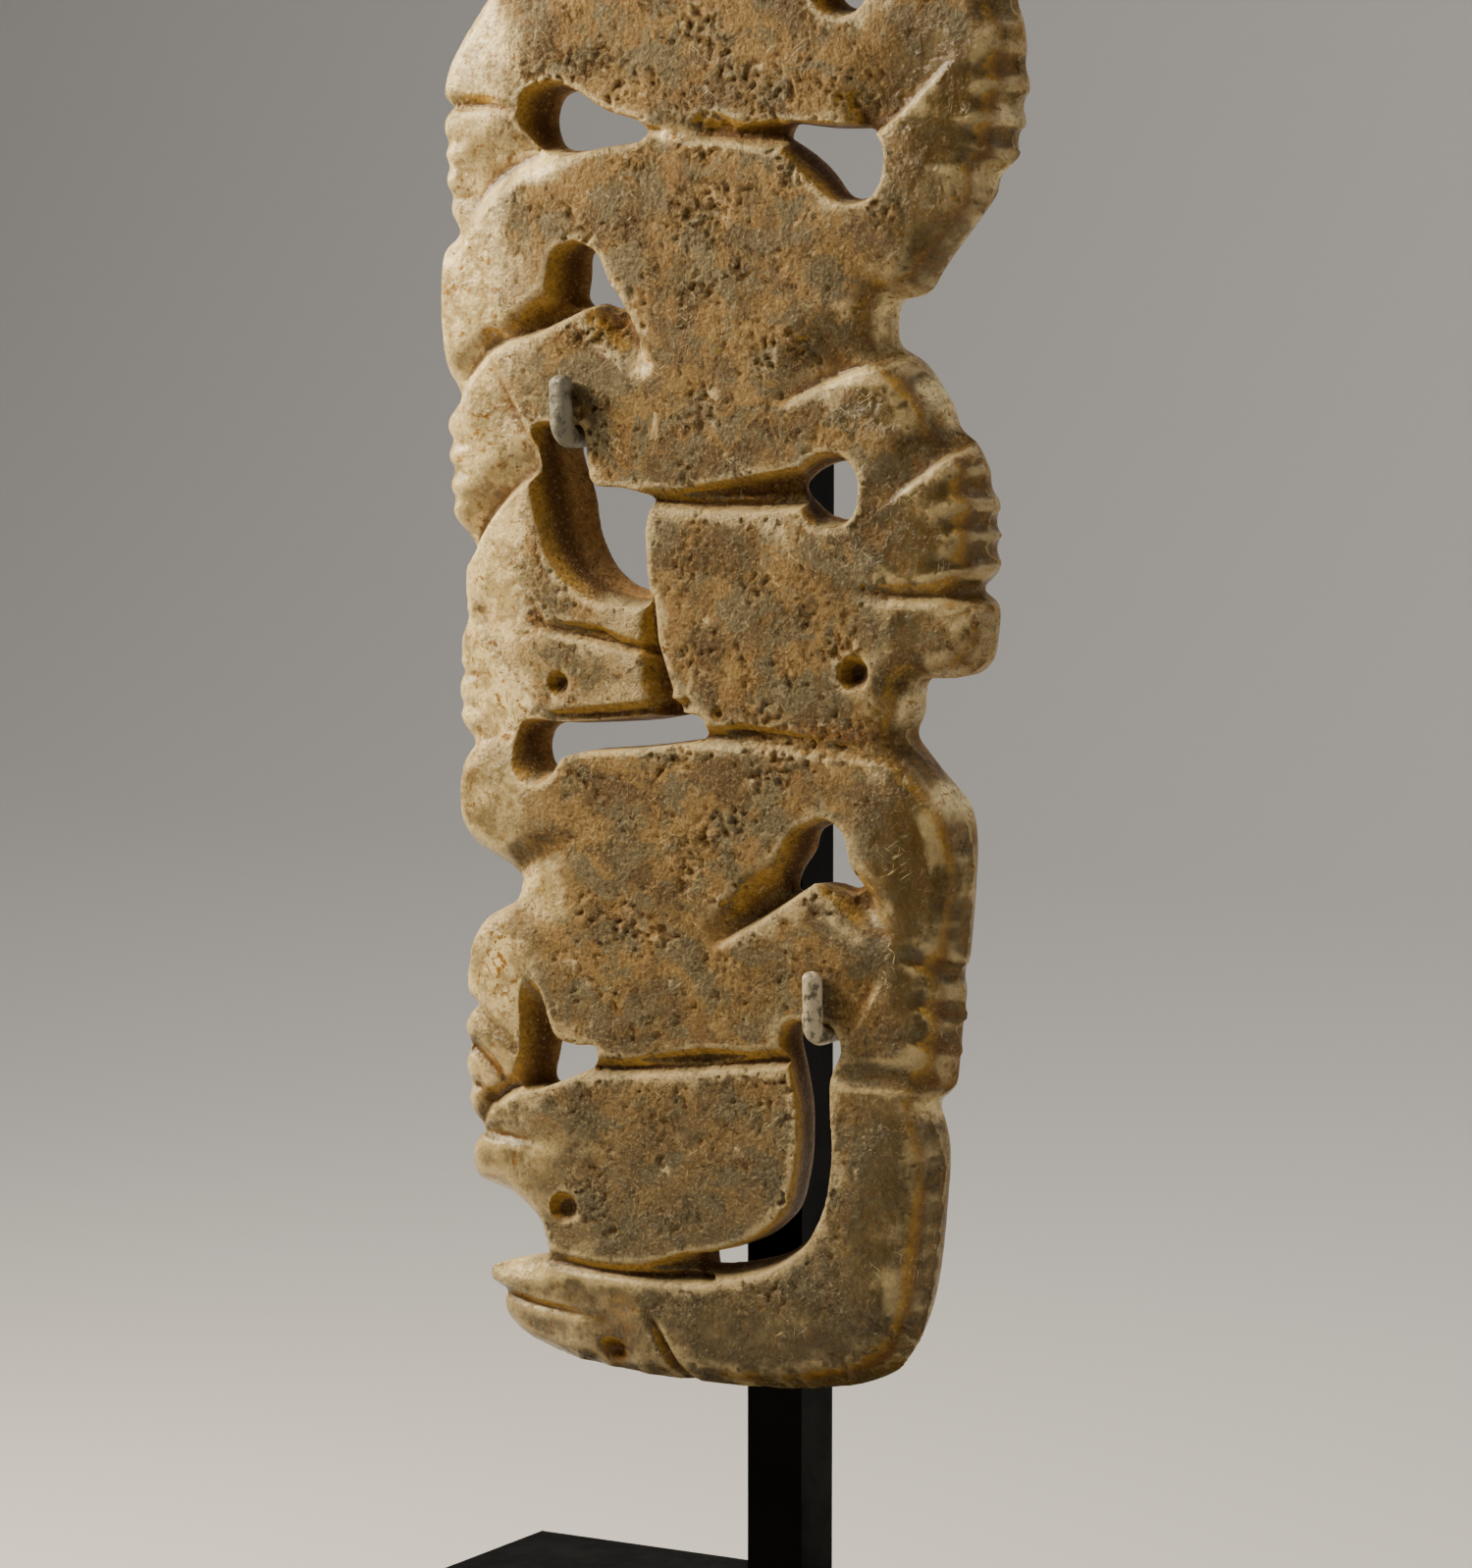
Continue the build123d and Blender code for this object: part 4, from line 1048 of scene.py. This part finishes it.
# Base block and post
# Painted satin black. The block is wood and stands on its underside; the square bar is
# set in a pocket in its middle. A little dust lies on both.
def black_paint(name, dust):
    """Satin black paint, its sheen slightly uneven, with a few light specks of dust."""
    material, tree, shader = new_material(name)
    place = shader_node(tree, "ShaderNodeTexCoord", {}).outputs["Object"]
    specks = between(tree, cloud(tree, place, 0.5 * MM, 2.0), 0.72, 0.78, 0.0, dust)
    colour = coloured(tree, specks, (0.003, 0.003, 0.003, 1), (0.05, 0.048, 0.045, 1))
    tree.links.new(colour, shader.inputs["Base Color"])
    sheen = between(tree, cloud(tree, place, 6 * MM, 4.0, 0.6), 0.3, 0.7, 0.42, 0.56)
    tree.links.new(sheen, shader.inputs["Roughness"])
    shader.inputs["Specular IOR Level"].default_value = 0.05
    raised(tree, shader, times(tree, cloud(tree, place, 0.7 * MM, 3.0), 0.02))
    return material


for name in ("base_block", "post"):
    paint = black_paint(name + "_paint", 0.25)
    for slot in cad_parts[name].material_slots:
        slot.material = paint


# Floor and backdrop
# A plain pale sweep of matt paper: a level floor that curves up behind the stand. It is no
# part of the object.
def sweep_mesh(width, depth_ahead, depth_behind, bend, rise):
    """A floor from the front to the back, a quarter circle and a wall, carried sideways."""
    turn = np.linspace(0, math.pi / 2, 17)
    y = np.concatenate([[-depth_ahead], depth_behind + bend * np.sin(turn), [depth_behind + bend]])
    z = np.concatenate([[0], bend * (1 - np.cos(turn)), [rise]])
    x = np.array([-width / 2, width / 2])
    grid = np.stack(np.broadcast_arrays(x[None, :], y[:, None], z[:, None]), axis=-1)
    rows = np.arange(len(y) - 1)[:, None] * 2
    faces = rows + np.array([0, 1, 3, 2])[None, :]
    mesh = bpy.data.meshes.new("sweep")
    mesh.from_pydata(grid.reshape(-1, 3).tolist(), [], faces.tolist())
    mesh.shade_smooth()
    return mesh


sweep = bpy.data.objects.new("backdrop", sweep_mesh(4.0, 1.6, 0.7, 0.4, 2.2))
bpy.context.scene.collection.objects.link(sweep)
sweep_paint = bpy.data.materials.new("pale_paper")
sweep_paint.use_nodes = True
shader = sweep_paint.node_tree.nodes["Principled BSDF"]
shader.inputs["Base Color"].default_value = (0.72, 0.70, 0.67, 1)
shader.inputs["Roughness"].default_value = 0.9
sweep.data.materials.append(sweep_paint)


# Light
# Two small warm lamps close by at the upper left, one of them nearly in the face's plane, so
# that the carving shows and the light falls off downwards. A weaker lamp catches the right
# edge, and soft ones light the front, the floor and the backdrop.
stone_middle = Vector(((stone_low + stone_high) / 2).tolist())


def soft_lamp(name, offset, size, power, colour, aim=(0, 0, 0)):
    """A square area lamp set off from the stone's middle, in metres, and looking at a point
    that is set off from it too."""
    lamp = bpy.data.lights.new(name, "AREA")
    lamp.size = size
    lamp.energy = power
    lamp.color = colour
    holder = bpy.data.objects.new(name, lamp)
    holder.location = stone_middle + Vector(offset)
    holder.rotation_euler = (Vector(offset) - Vector(aim)).to_track_quat("Z", "Y").to_euler()
    holder.visible_camera = False
    bpy.context.scene.collection.objects.link(holder)


soft_lamp("key_lamp", (-0.165, -0.11, 0.135), 0.06, 0.75, (1.0, 0.88, 0.66))
soft_lamp("rake_lamp", (-0.23, -0.062, 0.135), 0.09, 1.05, (1.0, 0.88, 0.66))
soft_lamp("rim_lamp", (0.55, -0.05, 0.20), 0.22, 0.8, (1.0, 0.92, 0.80))
soft_lamp("fill_lamp", (0.50, -1.35, 0.60), 1.2, 0.25, (1.0, 0.95, 0.86))
soft_lamp("room_lamp", (0.0, 0.80, 1.50), 1.6, 2.2, (1.0, 0.98, 0.95))
soft_lamp("backdrop_lamp", (0.0, 0.25, 0.90), 1.2, 7.0, (1.0, 0.98, 0.96), aim=(0.0, 1.1, 0.1))
world = bpy.data.worlds.new("room")
world.use_nodes = True
world.node_tree.nodes["Background"].inputs["Color"].default_value = (1.0, 0.97, 0.93, 1)
world.node_tree.nodes["Background"].inputs["Strength"].default_value = 0.03
bpy.context.scene.world = world


# Camera
# At the photograph's angle: 30 degrees round to the right of the face and 6 above it. Its
# place and lens were worked out from the edges of the block and the post.
camera_place = Vector((295.19 * MM, -514.1 * MM, 175.24 * MM))
camera_target = Vector((-0.33 * MM, -10.4 * MM, 109.74 * MM))
camera_data = bpy.data.cameras.new("camera")
camera_data.lens = 135.2
camera_data.sensor_width = 36
camera_data.clip_start = 0.01
camera = bpy.data.objects.new("camera", camera_data)
camera.location = camera_place
camera.rotation_euler = (camera_target - camera_place).to_track_quat("-Z", "Y").to_euler()
bpy.context.scene.collection.objects.link(camera)
bpy.context.scene.camera = camera
